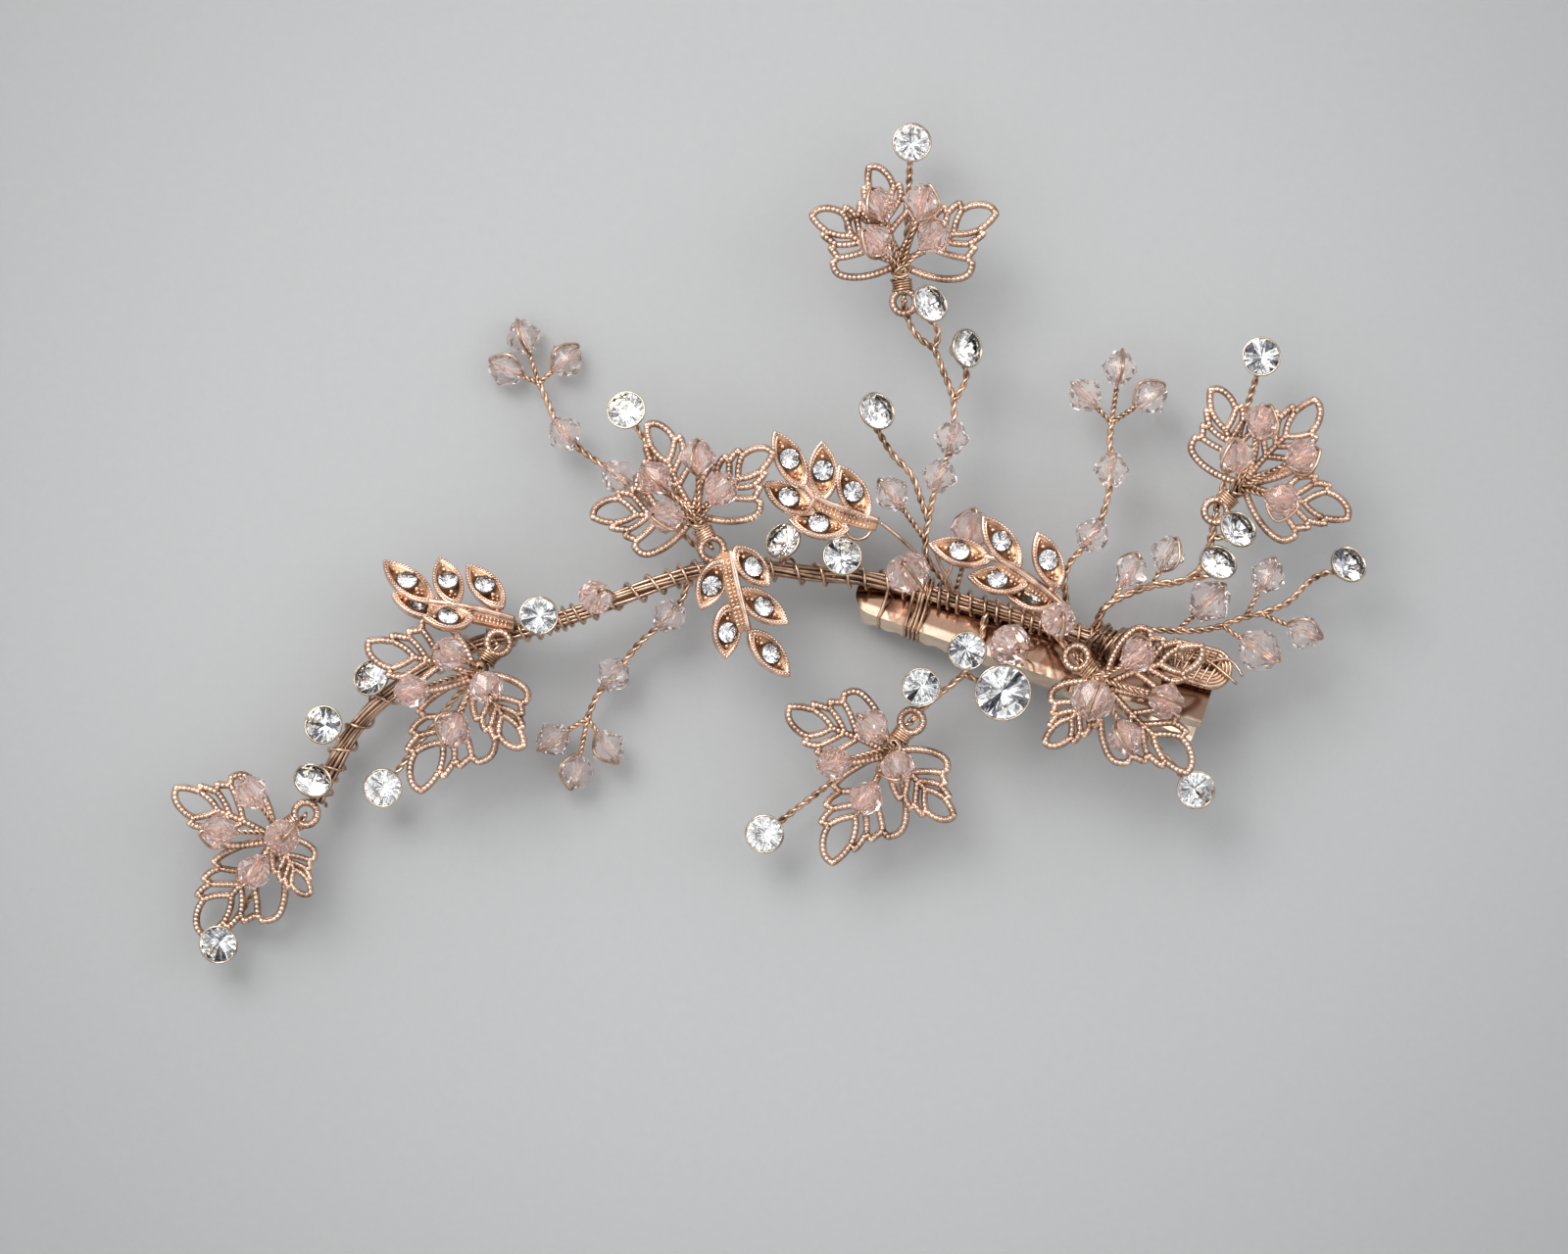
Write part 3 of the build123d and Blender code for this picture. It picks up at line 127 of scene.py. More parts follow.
spine_route = [
    (-0.0516, -0.029, 0.0046), (-0.0493, -0.0243, 0.0051), (-0.0468, -0.0203, 0.0056),
    (-0.044, -0.0174, 0.0061), (-0.0393, -0.014, 0.0069), (-0.0331, -0.0109, 0.0077),
    (-0.0275, -0.0096, 0.0083), (-0.0238, -0.0084, 0.0086), (-0.0174, -0.0061, 0.0089),
    (-0.0126, -0.0043, 0.009), (-0.0076, -0.0026, 0.0089), (-0.001, -0.0023, 0.0086),
    (0.0052, -0.0033, 0.0077), on_clip(0.001, 0.0013, SPINE_ON_CLIP_HEIGHT + 0.0002),
    on_clip(0.0115, SPINE_ON_CLIP_SIDE, SPINE_ON_CLIP_HEIGHT),
    on_clip(0.0205, 0.0019, SPINE_ON_CLIP_HEIGHT),
    on_clip(0.0285, SPINE_ON_CLIP_SIDE, SPINE_ON_CLIP_HEIGHT),
    on_clip(0.0386, 0.0023, SPINE_ON_CLIP_HEIGHT),
]
LEAVES = {
    1: {
        "ring": (-0.0526, -0.0304, 0.0064),
        "tips": [(-0.0672, -0.0274, 0.0082), (-0.0644, -0.0444, 0.0026), (-0.0519, -0.0394, 0.0082)],
        "beads": [
            (-0.0586, -0.0279, 0.0106, BEAD), (-0.0623, -0.0323, 0.01, BEAD),
            (-0.055, -0.0329, 0.0116, BEAD), (-0.0583, -0.0369, 0.0098, BEAD),
        ],
        "stone": "leaf_1_end",
        "stem_height": 0.0026,
    },
    2: {
        "ring": (-0.0306, -0.011, 0.0104),
        "tips": [(-0.0452, -0.0108, 0.0124), (-0.0394, -0.0278, 0.0094), (-0.0276, -0.0226, 0.0122)],
        "beads": [
            (-0.036, -0.0122, 0.0148, BEAD), (-0.0318, -0.016, 0.0148, BEAD),
            (-0.0403, -0.0164, 0.014, BEAD), (-0.0355, -0.0209, 0.0138, BEAD),
        ],
        "stone": "leaf_2_end",
        "stem_height": 0.0072,
    },
    3: {
        "ring": (-0.0064, -0.0004, 0.0112),
        "tips": [(-0.0199, 0.0032, 0.0126), (-0.0138, 0.0136, 0.0116), (0.0005, 0.0104, 0.0136)],
        "beads": [
            (-0.008, 0.01, 0.0146, BEAD), (-0.0054, 0.0063, 0.0154, BEAD),
            (-0.0116, 0.0033, 0.0148, BEAD), (-0.0129, 0.0076, 0.0142, BEAD),
        ],
        "stone": "leaf_3_end",
        "stem_height": 0.0086,
    },
    4: {
        "ring": (0.0153, 0.0276, 0.0096),
        "tips": [(0.0048, 0.0372, 0.012), (0.0113, 0.0428, 0.0112), (0.0257, 0.0375, 0.0124)],
        "beads": [
            (0.0124, 0.0385, 0.0132, BEAD), (0.0119, 0.0344, 0.0134, BEAD),
            (0.0172, 0.0388, 0.0132, BEAD), (0.0186, 0.0348, 0.0134, BEAD),
        ],
        "stone": "leaf_4_end",
        "stem_height": 0.0079,
    },
    5: {
        "ring": (0.0505, 0.0039, 0.011),
        "tips": [(0.0498, 0.0176, 0.013), (0.0616, 0.0165, 0.013), (0.0653, 0.003, 0.0128)],
        "beads": [
            (0.0555, 0.014, 0.015, BEAD), (0.0526, 0.0102, 0.0152, BEAD),
            (0.0601, 0.0101, 0.015, BEAD), (0.0578, 0.0052, 0.015, BEAD),
        ],
        "stone": "leaf_5_end",
        "stem_height": 0.0092,
    },
    6: {
        "ring": (0.0162, -0.0199, 0.007),
        "tips": [(0.0023, -0.0182, 0.0094), (0.0072, -0.036, 0.0072), (0.021, -0.0306, 0.009)],
        "beads": [
            (0.0116, -0.0204, 0.011, BEAD), (0.0073, -0.0246, 0.0106, BEAD),
            (0.0146, -0.025, 0.0106, BEAD), (0.011, -0.0286, 0.0104, BEAD),
        ],
        "stone": "leaf_6_end",
        "stem_height": 0.0056,
    },
    7: {
        "ring": (0.0347, -0.0126, 0.0128),
        "tips": [(0.0487, -0.0113, 0.0156), (0.0311, -0.0222, 0.013), (0.0471, -0.0257, 0.0128)],
        "beads": [
            (0.0414, -0.0124, 0.017, BEAD), (0.0364, -0.0174, 0.0166, LARGE_BEAD),
            (0.0401, -0.0216, 0.0158, BEAD), (0.0447, -0.0175, 0.0158, BEAD),
        ],
        "stone": "leaf_7_end",
        "stem_height": 0.0116,
    },
}
branch_a_route = [
    (-0.006, -0.0024, 0.0084), (-0.0088, 0.0006, 0.0082), (-0.013, 0.0043, 0.008),
    (-0.0171, 0.0079, 0.0072, BEAD), (-0.02, 0.0099, 0.0058),
    (-0.0232, 0.0128, 0.0046, BEAD), (-0.025, 0.0159, 0.0034), (-0.0262, 0.0186, 0.003),
]
branch_a_end_beads = [
    (-0.028, 0.0239, 0.0023, BEAD), (-0.03, 0.0202, 0.0024, BEAD),
    (-0.0232, 0.0213, 0.0024, BEAD),
]
branch_b_route = [
    (-0.0089, -0.0029, 0.0086), (-0.0095, -0.0053, 0.008), (-0.0113, -0.0079, 0.007, BEAD),
    (-0.0146, -0.0108, 0.0056), (-0.0177, -0.0146, 0.0046, BEAD), (-0.0198, -0.0172, 0.0038),
    (-0.0207, -0.0196, 0.0036),
]
branch_b_end_beads = [
    (-0.0246, -0.022, 0.0034, BEAD), (-0.0183, -0.0229, 0.0038, BEAD),
    (-0.0219, -0.0257, 0.0032, BEAD),
]
branch_c_route = [
    on_clip(0.0246, 0.0026, SPINE_ON_CLIP_HEIGHT + 0.0003), (0.0332, -0.0046, 0.0086),
    (0.034, -0.0018, 0.0088), (0.0366, 0.0012, 0.009, BEAD), (0.0382, 0.0046, 0.0088),
    (0.0388, 0.0086, 0.0082, BEAD), (0.0386, 0.0118, 0.0074), (0.0389, 0.014, 0.007),
]
branch_c_end_beads = [
    (0.0359, 0.0171, 0.0068, BEAD), (0.0398, 0.0202, 0.0066, BEAD),
    (0.0433, 0.0169, 0.0068, BEAD),
]
branch_d_route = [
    on_clip(0.0103, 0.0026, SPINE_ON_CLIP_HEIGHT + 0.0006), (0.0178, -0.0019, 0.0094),
    (0.0176, 0.0006, 0.0098), (0.0183, 0.0042, 0.01), (0.0193, 0.0079, 0.01, BEAD),
    (0.0202, 0.01, 0.01), (0.0207, 0.0122, 0.01, BEAD), (0.021, 0.0154, 0.0099),
    (0.0208, 0.0172, 0.0098), (0.0196, 0.02, 0.0096), (0.0188, 0.0224, 0.0094), (0.017, 0.0234, 0.0092),
    (0.0156, 0.0256, 0.009), (0.0152, 0.0278, 0.009),
]
branch_d_left_route = [
    (0.018, 0.003, 0.0099), (0.0172, 0.005, 0.01), (0.0164, 0.008, 0.0099), (0.0138, 0.0104, 0.0096),
    (0.0123, 0.0132, 0.0094), cup_back("branch_d_left"),
]
branch_d_right_route = [
    (0.0209, 0.0164, 0.0098), (0.0224, 0.0184, 0.0096), (0.0223, 0.0206, 0.0098),
    cup_back("branch_d_right"),
]
branch_d_upper_route = [
    (0.0188, 0.0224, 0.0094), (0.0195, 0.0242, 0.0096), (0.0182, 0.0256, 0.0104),
    cup_back("branch_d_upper"),
]
branch_d_side_start = (0.0176, 0.0008, 0.0098)
branch_d_side_beads = [(0.0139, 0.0059, 0.0102, BEAD)]
branch_e_route = [
    on_clip(0.0274, 0.0024, SPINE_ON_CLIP_HEIGHT + 0.0004), (0.0372, -0.0074, 0.0106),
    (0.0396, -0.0059, 0.0112), (0.0436, -0.0044, 0.0114), (0.0466, -0.0043, 0.0112),
    (0.0488, -0.0028, 0.0108), (0.0499, 0.0002, 0.0104), (0.0505, 0.0036, 0.0104),
]
branch_e_upper_route = [(0.05, 0.0008, 0.0104), (0.0524, 0.0012, 0.0116), cup_back("branch_e_upper")]
branch_e_lower_route = [(0.0474, -0.0038, 0.011), (0.0502, -0.0034, 0.011), cup_back("branch_e_lower")]
branch_e_bead_starts = [
    ((0.0388, -0.0062, 0.011), (0.0409, -0.0029, 0.0122, BEAD)),
    ((0.0434, -0.0044, 0.0114), (0.045, -0.0009, 0.0124, BEAD)),
]
branch_f_route = [
    on_clip(0.0308, 0.0026, SPINE_ON_CLIP_HEIGHT + 0.0004), (0.0426, -0.0094, 0.011),
    (0.0461, -0.0097, 0.0112), (0.0502, -0.0095, 0.0112), (0.0532, -0.0082, 0.011),
    (0.0556, -0.0077, 0.0108), (0.0588, -0.0066, 0.0102), (0.061, -0.004, 0.0096),
    (0.0634, -0.0028, 0.0094), cup_back("branch_f_end"),
]
branch_f_bead_starts = [
    ((0.0539, -0.008, 0.011), (0.0564, -0.0034, 0.0112, BEAD)),
    ((0.0556, -0.0077, 0.0108), (0.0605, -0.0098, 0.0108, BEAD)),
    ((0.046, -0.0097, 0.0112), (0.0498, -0.0063, 0.0117, LARGE_BEAD)),
    ((0.0512, -0.0091, 0.0112), (0.0554, -0.0118, 0.0114, LARGE_BEAD)),
]
leaf_6_route = [
    on_clip(0.015, 0.0006, SPINE_ON_CLIP_HEIGHT + 0.0006), on_clip(0.0156, -0.0032, 0.0014),
    (0.0222, -0.0146, 0.0088), (0.0196, -0.0166, 0.008), (0.0174, -0.0184, 0.0066),
    (0.016, -0.02, 0.0064),
]
leaf_7_route = [
    on_clip(0.022, 0.0018, SPINE_ON_CLIP_HEIGHT + 0.0004), (0.0332, -0.011, 0.0118),
    (0.0348, -0.0127, 0.0123),
]
spine_stone_routes = [
    [(-0.0506, -0.0269, 0.0049), (-0.0514, -0.0272, 0.0066), cup_back("spine_left_end")],
    [(-0.0482, -0.0222, 0.0054), (-0.0502, -0.0212, 0.0049), cup_back("spine_left_outer")],
    [(-0.044, -0.0173, 0.0062), (-0.045, -0.0159, 0.0062), cup_back("spine_left_inner")],
    [(-0.026, -0.0091, 0.0086), cup_back("spine_middle")],
    [(0.0012, -0.0027, 0.0084), (0.0019, -0.0006, 0.0084), cup_back("spine_right_tilted")],
    [(0.0072, -0.0036, 0.0074), (0.0083, -0.0019, 0.0078), cup_back("spine_right")],
]
leaf_6_base_route = [(0.0196, -0.0166, 0.008), (0.0182, -0.0166, 0.0084), cup_back("leaf_6_base")]
clip_side_route = [on_clip(0.0154, -0.0019, 0.0016), cup_back("clip_side")]
large_stone_route = [(0.0222, -0.0146, 0.0088), (0.0252, -0.016, 0.0089), cup_back("large")]
spine_bead_starts = [
    ((-0.0206, -0.0072, 0.0087), (-0.0196, -0.0058, 0.0119, BEAD)),
    (on_clip(0.0066, 0.0014, 0.0018), (0.0157, -0.003, 0.0104, LARGE_BEAD)),
    (on_clip(0.011, 0.0024, 0.0016), (0.023, 0.0016, 0.0085, LARGE_BEAD)),
    (on_clip(0.0166, -0.0014, 0.0014), (0.0272, -0.0113, 0.0126, LARGE_BEAD)),
    (on_clip(0.0224, 0.0006, 0.0022), (0.0326, -0.0084, 0.0142, BEAD)),
]
SPRAYS = {
    1: {
        "rib": [(-0.0288, -0.0086, 0.0099), (-0.0335, -0.0072, 0.0103), (-0.0385, -0.0066, 0.0101)],
        "facing": (0.05, 0.62, 0.78),
        "leaflets": [
            ((-0.041, -0.0039, 0.0092), (-0.0438, -0.0016, 0.0078)),
            ((-0.0364, -0.0039, 0.0092), (-0.0374, -0.0012, 0.0074)),
            ((-0.0322, -0.0044, 0.0094), (-0.0343, -0.002, 0.008)),
            ((-0.0396, -0.0065, 0.01), (-0.0428, -0.0054, 0.0095)),
            ((-0.0362, -0.008, 0.0129), (-0.039, -0.008, 0.0134)),
        ],
    },
    2: {
        "rib": [(-0.0044, -0.0006, 0.0124), (-0.0036, -0.0046, 0.0126), (-0.0023, -0.0096, 0.012)],
        "facing": (0.1, -0.1, 1),
        "leaflets": [
            ((-0.0018, -0.0024, 0.0125), (0.0002, -0.0046, 0.0121)),
            ((-0.0065, -0.0045, 0.0125), (-0.0077, -0.0073, 0.0121)),
            ((-0.0006, -0.0069, 0.012), (0.0023, -0.0088, 0.0117)),
            ((-0.0047, -0.0098, 0.0121), (-0.0048, -0.0129, 0.0118)),
            ((0.0002, -0.0122, 0.0116), (0.0024, -0.0148, 0.0112)),
        ],
    },
    3: {
        "rib": [(0.0124, 0.0028, 0.0112), (0.009, 0.0037, 0.0117), (0.0052, 0.0054, 0.0118)],
        "facing": (-0.1, 0.15, 1),
        "leaflets": [
            ((0.0023, 0.0098, 0.0119), (0.0006, 0.013, 0.012)),
            ((0.0061, 0.0085, 0.0122), (0.006, 0.0119, 0.0122)),
            ((0.0095, 0.0061, 0.012), (0.0079, 0.0092, 0.012)),
            ((0.0022, 0.0055, 0.0115), (-0.0007, 0.0072, 0.0113)),
            ((0.0056, 0.0025, 0.0118), (0.0022, 0.003, 0.0119)),
        ],
    },
    4: {
        "rib": [(0.0335, -0.007, 0.0119), (0.03, -0.0037, 0.0126), (0.0262, -0.0016, 0.0128)],
        "facing": (-0.1, -0.15, 1),
        "leaflets": [
            ((0.0215, -0.0006, 0.0122), (0.018, 0.0003, 0.0121)),
            ((0.0262, 0.0005, 0.0129), (0.0241, 0.0034, 0.0128)),
            ((0.0315, -0.0016, 0.0127), (0.0303, 0.0016, 0.0129)),
            ((0.0258, -0.0038, 0.0123), (0.0224, -0.0034, 0.0119)),
            ((0.0298, -0.0057, 0.0119), (0.0266, -0.0052, 0.0115)),
        ],
    },
}

# ---- materials -------------------------------------------------------------------------------
TONE_PATCH_SCALE = 420.0
GLASS_CLOUD_SCALE = 260.0
GLASS_WEAR_SCALE = 1800.0
FOIL_FACET_SCALE = 9.0
PAPER_TOOTH_SCALE = 900.0


def fill(tree, node, settings):
    """Sets a node's inputs and settings by name; a socket is linked to its input instead."""
    for key, value in settings.items():
        name = key.replace("_", " ")
        if name not in node.inputs:
            setattr(node, key, value)
        elif isinstance(value, bpy.types.NodeSocket):
            tree.links.new(value, node.inputs[name])
        else:
            node.inputs[name].default_value = value
    return node


def node_adder(tree):
    """A function that adds a node to a tree, its inputs and settings given by name."""

    def add(kind, **settings):
        return fill(tree, tree.nodes.new("ShaderNode" + kind), settings)

    return add


def new_material(name):
    """A node material, and the functions that add a node to it and set its shader's inputs."""
    material = bpy.data.materials.new(name)
    material.use_nodes = True
    tree = material.node_tree

    def shade(**settings):
        fill(tree, tree.nodes["Principled BSDF"], settings)

    return material, node_adder(tree), shade


def colour_ramp(add, value, stops):
    """The colour that follows a value through (position, colour) stops, as a socket."""
    ramp = add("ValToRGB", Fac=value)
    elements = ramp.color_ramp.elements
    while len(elements) < len(stops):
        elements.new(0.5)
    for element, (position, colour) in zip(elements, stops):
        element.position = position
        element.color = (*colour, 1)
    return ramp.outputs["Color"]


def noise(add, place, scale, **settings):
    """Noise at a place, as a socket."""
    return add("TexNoise", Vector=place, Scale=scale, **settings).outputs["Fac"]


def span(add, value, lowest, highest, **settings):
    """A value carried from 0 to 1 into another range, as a socket."""
    return add("MapRange", Value=value, To_Min=lowest, To_Max=highest, **settings).outputs["Result"]


def metal(name, bright, dull, roughness, grain_scale, bump):
    """Plated metal: patches of duller tone, uneven gloss and a fine grain."""
    material, add, shade = new_material(name)
    place = add("TexCoord").outputs["Object"]
    patches = noise(add, place, TONE_PATCH_SCALE, Detail=4.0, Roughness=0.6)
    fine = noise(add, place, grain_scale, Detail=3.0)
    relief = add("Bump", Strength=bump, Distance=0.00005, Height=fine)
    shade(
        Base_Color=colour_ramp(add, patches, [(0.34, dull), (0.57, bright)]),
        Roughness=span(add, fine, roughness * 0.75, roughness * 1.35),
        Normal=relief.outputs["Normal"],
        Metallic=1.0,
    )
    return material


def glass(name, clear, deep, ior, clarity):
    """Cut glass whose tint and gloss vary a little from place to place."""
    material, add, shade = new_material(name)
    place = add("TexCoord").outputs["Object"]
    clouds = noise(add, place, GLASS_CLOUD_SCALE, Detail=2.0)
    wear = noise(add, place, GLASS_WEAR_SCALE, Detail=2.0)
    shade(
        Base_Color=colour_ramp(add, clouds, [(0.3, deep), (0.7, clear)]),
        Roughness=span(add, wear, 0.0, 0.025),
        Transmission_Weight=clarity,
        IOR=ior,
    )
    return material


def mirror_foil(name):
    """The mirror behind a cut stone: a few of its facets are dark, as painted reflections, and the others
    bright.
    """
    material, add, shade = new_material(name)
    facet = add("NewGeometry").outputs["True Normal"]
    pick = noise(add, facet, FOIL_FACET_SCALE, Detail=1.0)
    # The dark facets are painted reflections.
    tone = colour_ramp(add, pick, [(0.36, (0.15, 0.15, 0.18)), (0.44, (1.0, 1.0, 1.0))])
    shade(Base_Color=tone, Metallic=1.0, Roughness=0.06)
    return material


def paper(name):
    """Pale grey paper with a soft tooth, darkened a little away from its middle by painted shade."""
    material, add, shade = new_material(name)
    place = add("TexCoord").outputs["Object"]
    tooth = noise(add, place, PAPER_TOOTH_SCALE, Detail=5.0, Roughness=0.7)
    tone = colour_ramp(add, tooth, [(0.0, (0.388, 0.394, 0.399)), (1.0, (0.423, 0.428, 0.434))])
    # Painted shade: the paper darkens away from its middle.
    reach = add("VectorMath", operation="LENGTH", Vector=place).outputs["Value"]
    painted_falloff_shade = span(add, reach, 1.0, 0.68, interpolation_type="SMOOTHSTEP", From_Min=0.04, From_Max=0.16)
    tone_with_painted_falloff = add("VectorMath", operation="SCALE", Vector=tone, Scale=painted_falloff_shade)
    relief = add("Bump", Strength=0.25, Distance=0.0001, Height=tooth)
    shade(Base_Color=tone_with_painted_falloff.outputs["Vector"], Normal=relief.outputs["Normal"], Roughness=0.85)
    return material


wire_gold = metal("wire_gold", (0.74, 0.52, 0.38), (0.28, 0.17, 0.10), 0.22, 5200.0, 0.10)
spine_gold = metal("spine_gold", (0.66, 0.45, 0.33), (0.22, 0.13, 0.08), 0.24, 5200.0, 0.10)
leaf_gold = metal("leaf_gold", (0.93, 0.69, 0.54), (0.47, 0.30, 0.21), 0.18, 4200.0, 0.12)
cast_gold = metal("cast_gold", (0.90, 0.67, 0.54), (0.50, 0.32, 0.23), 0.17, 3600.0, 0.25)
clip_gold = metal("clip_gold", (0.97, 0.79, 0.62), (0.74, 0.54, 0.40), 0.12, 2600.0, 0.05)
# Wire coloured dark as painted shade: the dark spine strands, the dark knot loops and the lever tangle.
painted_shade_wire = metal("painted_shade_wire", (0.44, 0.29, 0.20), (0.15, 0.09, 0.06), 0.28, 5200.0, 0.10)
# The filigree strips' edges, coloured dark as painted shade.
edge_painted_shade = metal("edge_painted_shade", (0.46, 0.29, 0.21), (0.18, 0.10, 0.07), 0.30, 4200.0, 0.12)
# Dark metal as painted shade: the spine's core seen between its strands, and the seats round the spray
# stones.
dark_painted_shade = metal("dark_painted_shade", (0.20, 0.12, 0.08), (0.10, 0.06, 0.04), 0.45, 3000.0, 0.20)
floor_gold = metal("floor_gold", (0.66, 0.38, 0.22), (0.24, 0.13, 0.07), 0.30, 5200.0, 1.0)
cup_brass = metal("cup_brass", (0.66, 0.56, 0.44), (0.26, 0.20, 0.14), 0.22, 3000.0, 0.10)
spring_steel = metal("spring_steel", (0.62, 0.60, 0.57), (0.38, 0.36, 0.34), 0.25, 4000.0, 0.08)
foil_painted_reflections = mirror_foil("foil_painted_reflections")
clear_glass = glass("clear_glass", (1.0, 1.0, 1.0), (0.98, 0.99, 1.0), 1.5, 1.0)
rose_glass = glass("rose_glass", (1.0, 0.87, 0.82), (1.0, 0.76, 0.71), 1.50, 0.87)
pale_pink_glass = glass("pale_pink_glass", (1.0, 0.93, 0.90), (1.0, 0.86, 0.83), 1.50, 0.90)

# ---- meshes ----------------------------------------------------------------------------------
MILGRAIN_PITCH = 0.00053
MILGRAIN_NECK_SHARE = 0.44
BINDING_TURN_STEP = 0.42


class Shape:
    """Vertices and faces gathered for one piece."""

    def __init__(self):
        self.points = []
        self.faces = []
        self.count = 0

    def add(self, points, groups, slot=0, smooth=True):
        """Adds points, and groups of faces that index them, each group's faces of one size."""
        for group in groups:
            self.faces.append((np.asarray(group, int) + self.count, slot, smooth))
        points = np.asarray(points, float)
        self.points.append(points)
        self.count += len(points)


def piece(name, shape, materials, replaced=(), body=ROOT):
    """Makes a shape into an object that rides on a CAD body."""
    mesh = bpy.data.meshes.new(name)
    points = np.vstack(shape.points)
    corners = np.concatenate([group.ravel() for group, _, _ in shape.faces])
    sizes = np.concatenate([np.full(len(group), group.shape[1]) for group, _, _ in shape.faces])
    slots = np.concatenate([np.full(len(group), index) for group, index, _ in shape.faces])
    smooth = np.concatenate([np.full(len(group), flag) for group, _, flag in shape.faces])
    mesh.vertices.add(len(points))
    mesh.vertices.foreach_set("co", points.astype(np.float32).ravel())
    mesh.loops.add(len(corners))
    mesh.loops.foreach_set("vertex_index", corners.astype(np.int32))
    mesh.polygons.add(len(sizes))
    mesh.polygons.foreach_set("loop_start", np.r_[0, np.cumsum(sizes)[:-1]].astype(np.int32))
    mesh.polygons.foreach_set("material_index", slots.astype(np.int32))
    mesh.polygons.foreach_set("use_smooth", smooth)
    mesh.update(calc_edges=True)
    mesh.validate()
    for material in materials:
        mesh.materials.append(material)
    obj = bpy.data.objects.new(name, mesh)
    bpy.context.scene.collection.objects.link(obj)
    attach(obj, body)
    if replaced:
        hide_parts(*replaced)


def smooth_route(points):
    """Points read along the smooth line that a route's points control."""
    points = [tuple(point[:3]) for point in points]
    if len(points) == 2:
        return np.array(points, float)
    curve = bpy.data.curves.new("route", "CURVE")
    curve.dimensions = "3D"
    spline = curve.splines.new("NURBS")
    spline.points.add(len(points) - 1)
    for control, point in zip(spline.points, points):
        control.co = (*point, 1)
    spline.order_u = 3
    spline.use_endpoint_u = True
    spline.resolution_u = 12
    holder = bpy.data.objects.new("route", curve)
    mesh = bpy.data.meshes.new_from_object(holder)
    line = np.array([vertex.co for vertex in mesh.vertices], float)
    bpy.data.objects.remove(holder)
    bpy.data.curves.remove(curve)
    bpy.data.meshes.remove(mesh)
    return line


def distances(line):
    """How far along a line each of its points is."""
    return np.r_[0, np.cumsum(np.linalg.norm(np.diff(line, axis=0), axis=1))]


def evenly(line, step, closed=False):
    """A line's points again, spaced evenly by about one step."""
    if closed:
        line = np.vstack([line, line[:1]])
    run = distances(line)
    count = max(3, int(round(run[-1] / step)) + 1)
    places = np.linspace(0, run[-1], count)
    spaced = np.stack([np.interp(places, run, line[:, axis]) for axis in range(3)], axis=1)
    return spaced[:-1] if closed else spaced


def frames(line, closed=False):
    """Each point's unit tangent and two cross directions that don't twist along the line."""
    if closed:
        tangent = np.roll(line, -1, axis=0) - np.roll(line, 1, axis=0)
    else:
        tangent = np.gradient(line, axis=0)
    tangent /= np.maximum(np.linalg.norm(tangent, axis=1, keepdims=True), 1e-12)
    start = np.cross(tangent[0], UP)
    if np.linalg.norm(start) < 0.1:
        start = np.cross(tangent[0], (1.0, 0.0, 0.0))
    side = np.empty_like(line)
    side[0] = unit(start)
    for index in range(1, len(line)):
        carried = side[index - 1] - tangent[index] * np.dot(side[index - 1], tangent[index])
        side[index] = carried / np.linalg.norm(carried)
    return tangent, side, np.cross(tangent, side)


def basis(axis, towards=None):
    """Three unit directions: across, other and the axis, the first leaning towards a direction."""
    axis = unit(axis)
    if towards is None:
        towards = (1.0, 0.0, 0.0) if abs(axis[0]) < 0.9 else (0.0, 1.0, 0.0)
    across = unit(np.asarray(towards, float) - axis * np.dot(towards, axis))
    return across, np.cross(axis, across), axis


def circled(angle, side, other):
    """Directions at angles between one direction and another, one row for each angle."""
    return np.cos(angle)[:, None] * side + np.sin(angle)[:, None] * other


def around(radius, height, count, start=0.0):
    """Points evenly round a level circle."""
    turn = (np.arange(count) + start) * FULL_TURN / count
    return np.stack([radius * np.cos(turn), radius * np.sin(turn), np.full(count, height)], axis=1)


def placed(points, centre, directions):
    """Local points carried to a centre along three directions."""
    return np.array(centre) + np.asarray(points, float) @ np.array(directions)


def joined(*corners):
    """Rows made of columns: each face's corner indices, or each point's coordinates."""
    return np.stack(corners, axis=1)


def tube(shape, line, radius, sides=6, closed=False, slot=0):
    """Sweeps a round section, whose radius may vary, along a line."""
    _, side, other = frames(line, closed)
    radius = np.broadcast_to(radius, len(line))[:, None, None]
    turn = np.arange(sides) * FULL_TURN / sides
    rings = np.cos(turn)[None, :, None] * side[:, None, :] + np.sin(turn)[None, :, None] * other[:, None, :]
    points = (line[:, None, :] + radius * rings).reshape(-1, 3)
    count = len(line)
    corner = np.arange(sides)
    ring_start = (np.arange(count if closed else count - 1) * sides)[:, None]
    here = (ring_start + corner).ravel()
    turned = (ring_start + (corner + 1) % sides).ravel()
    total = count * sides
    groups = [joined(here, turned, (turned + sides) % total, (here + sides) % total)]
    if not closed:
        groups.append(corner[::-1][None, :])
        groups.append(corner[None, :] + total - sides)
    shape.add(points, groups, slot)


def wire(shape, points, radius, step=WIRE_STEP, sides=6, slot=0):
    """A round wire along a smooth route."""
    tube(shape, evenly(smooth_route(points), step), radius, sides, slot=slot)


def milgrain(shape, line, radius, closed=False):
    """A wire that looks like a row of small beads."""
    spaced = evenly(line, MILGRAIN_PITCH / 4, closed)
    phase = np.arange(len(spaced)) * math.pi / 4
    beaded = radius * (MILGRAIN_NECK_SHARE + (1 - MILGRAIN_NECK_SHARE) * np.abs(np.sin(phase)))
    tube(shape, spaced, beaded, closed=closed)


def twisted_pair(shape, line, wire_radius=STEM_WIRE_RADIUS, pitch=STEM_PITCH):
    """Two wires twisted round each other along a line, a little unevenly."""
    spaced = evenly(line, pitch / 9)
    _, side, other = frames(spaced)
    run = distances(spaced)
    wander = 0.5 * np.sin(run / pitch * 0.9 + chance.uniform(0, 6))
    angle = run / pitch * FULL_TURN + wander + chance.uniform(0, 6)
    for half_turn in (0, math.pi):
        tube(shape, spaced + wire_radius * circled(angle + half_turn, side, other), wire_radius)


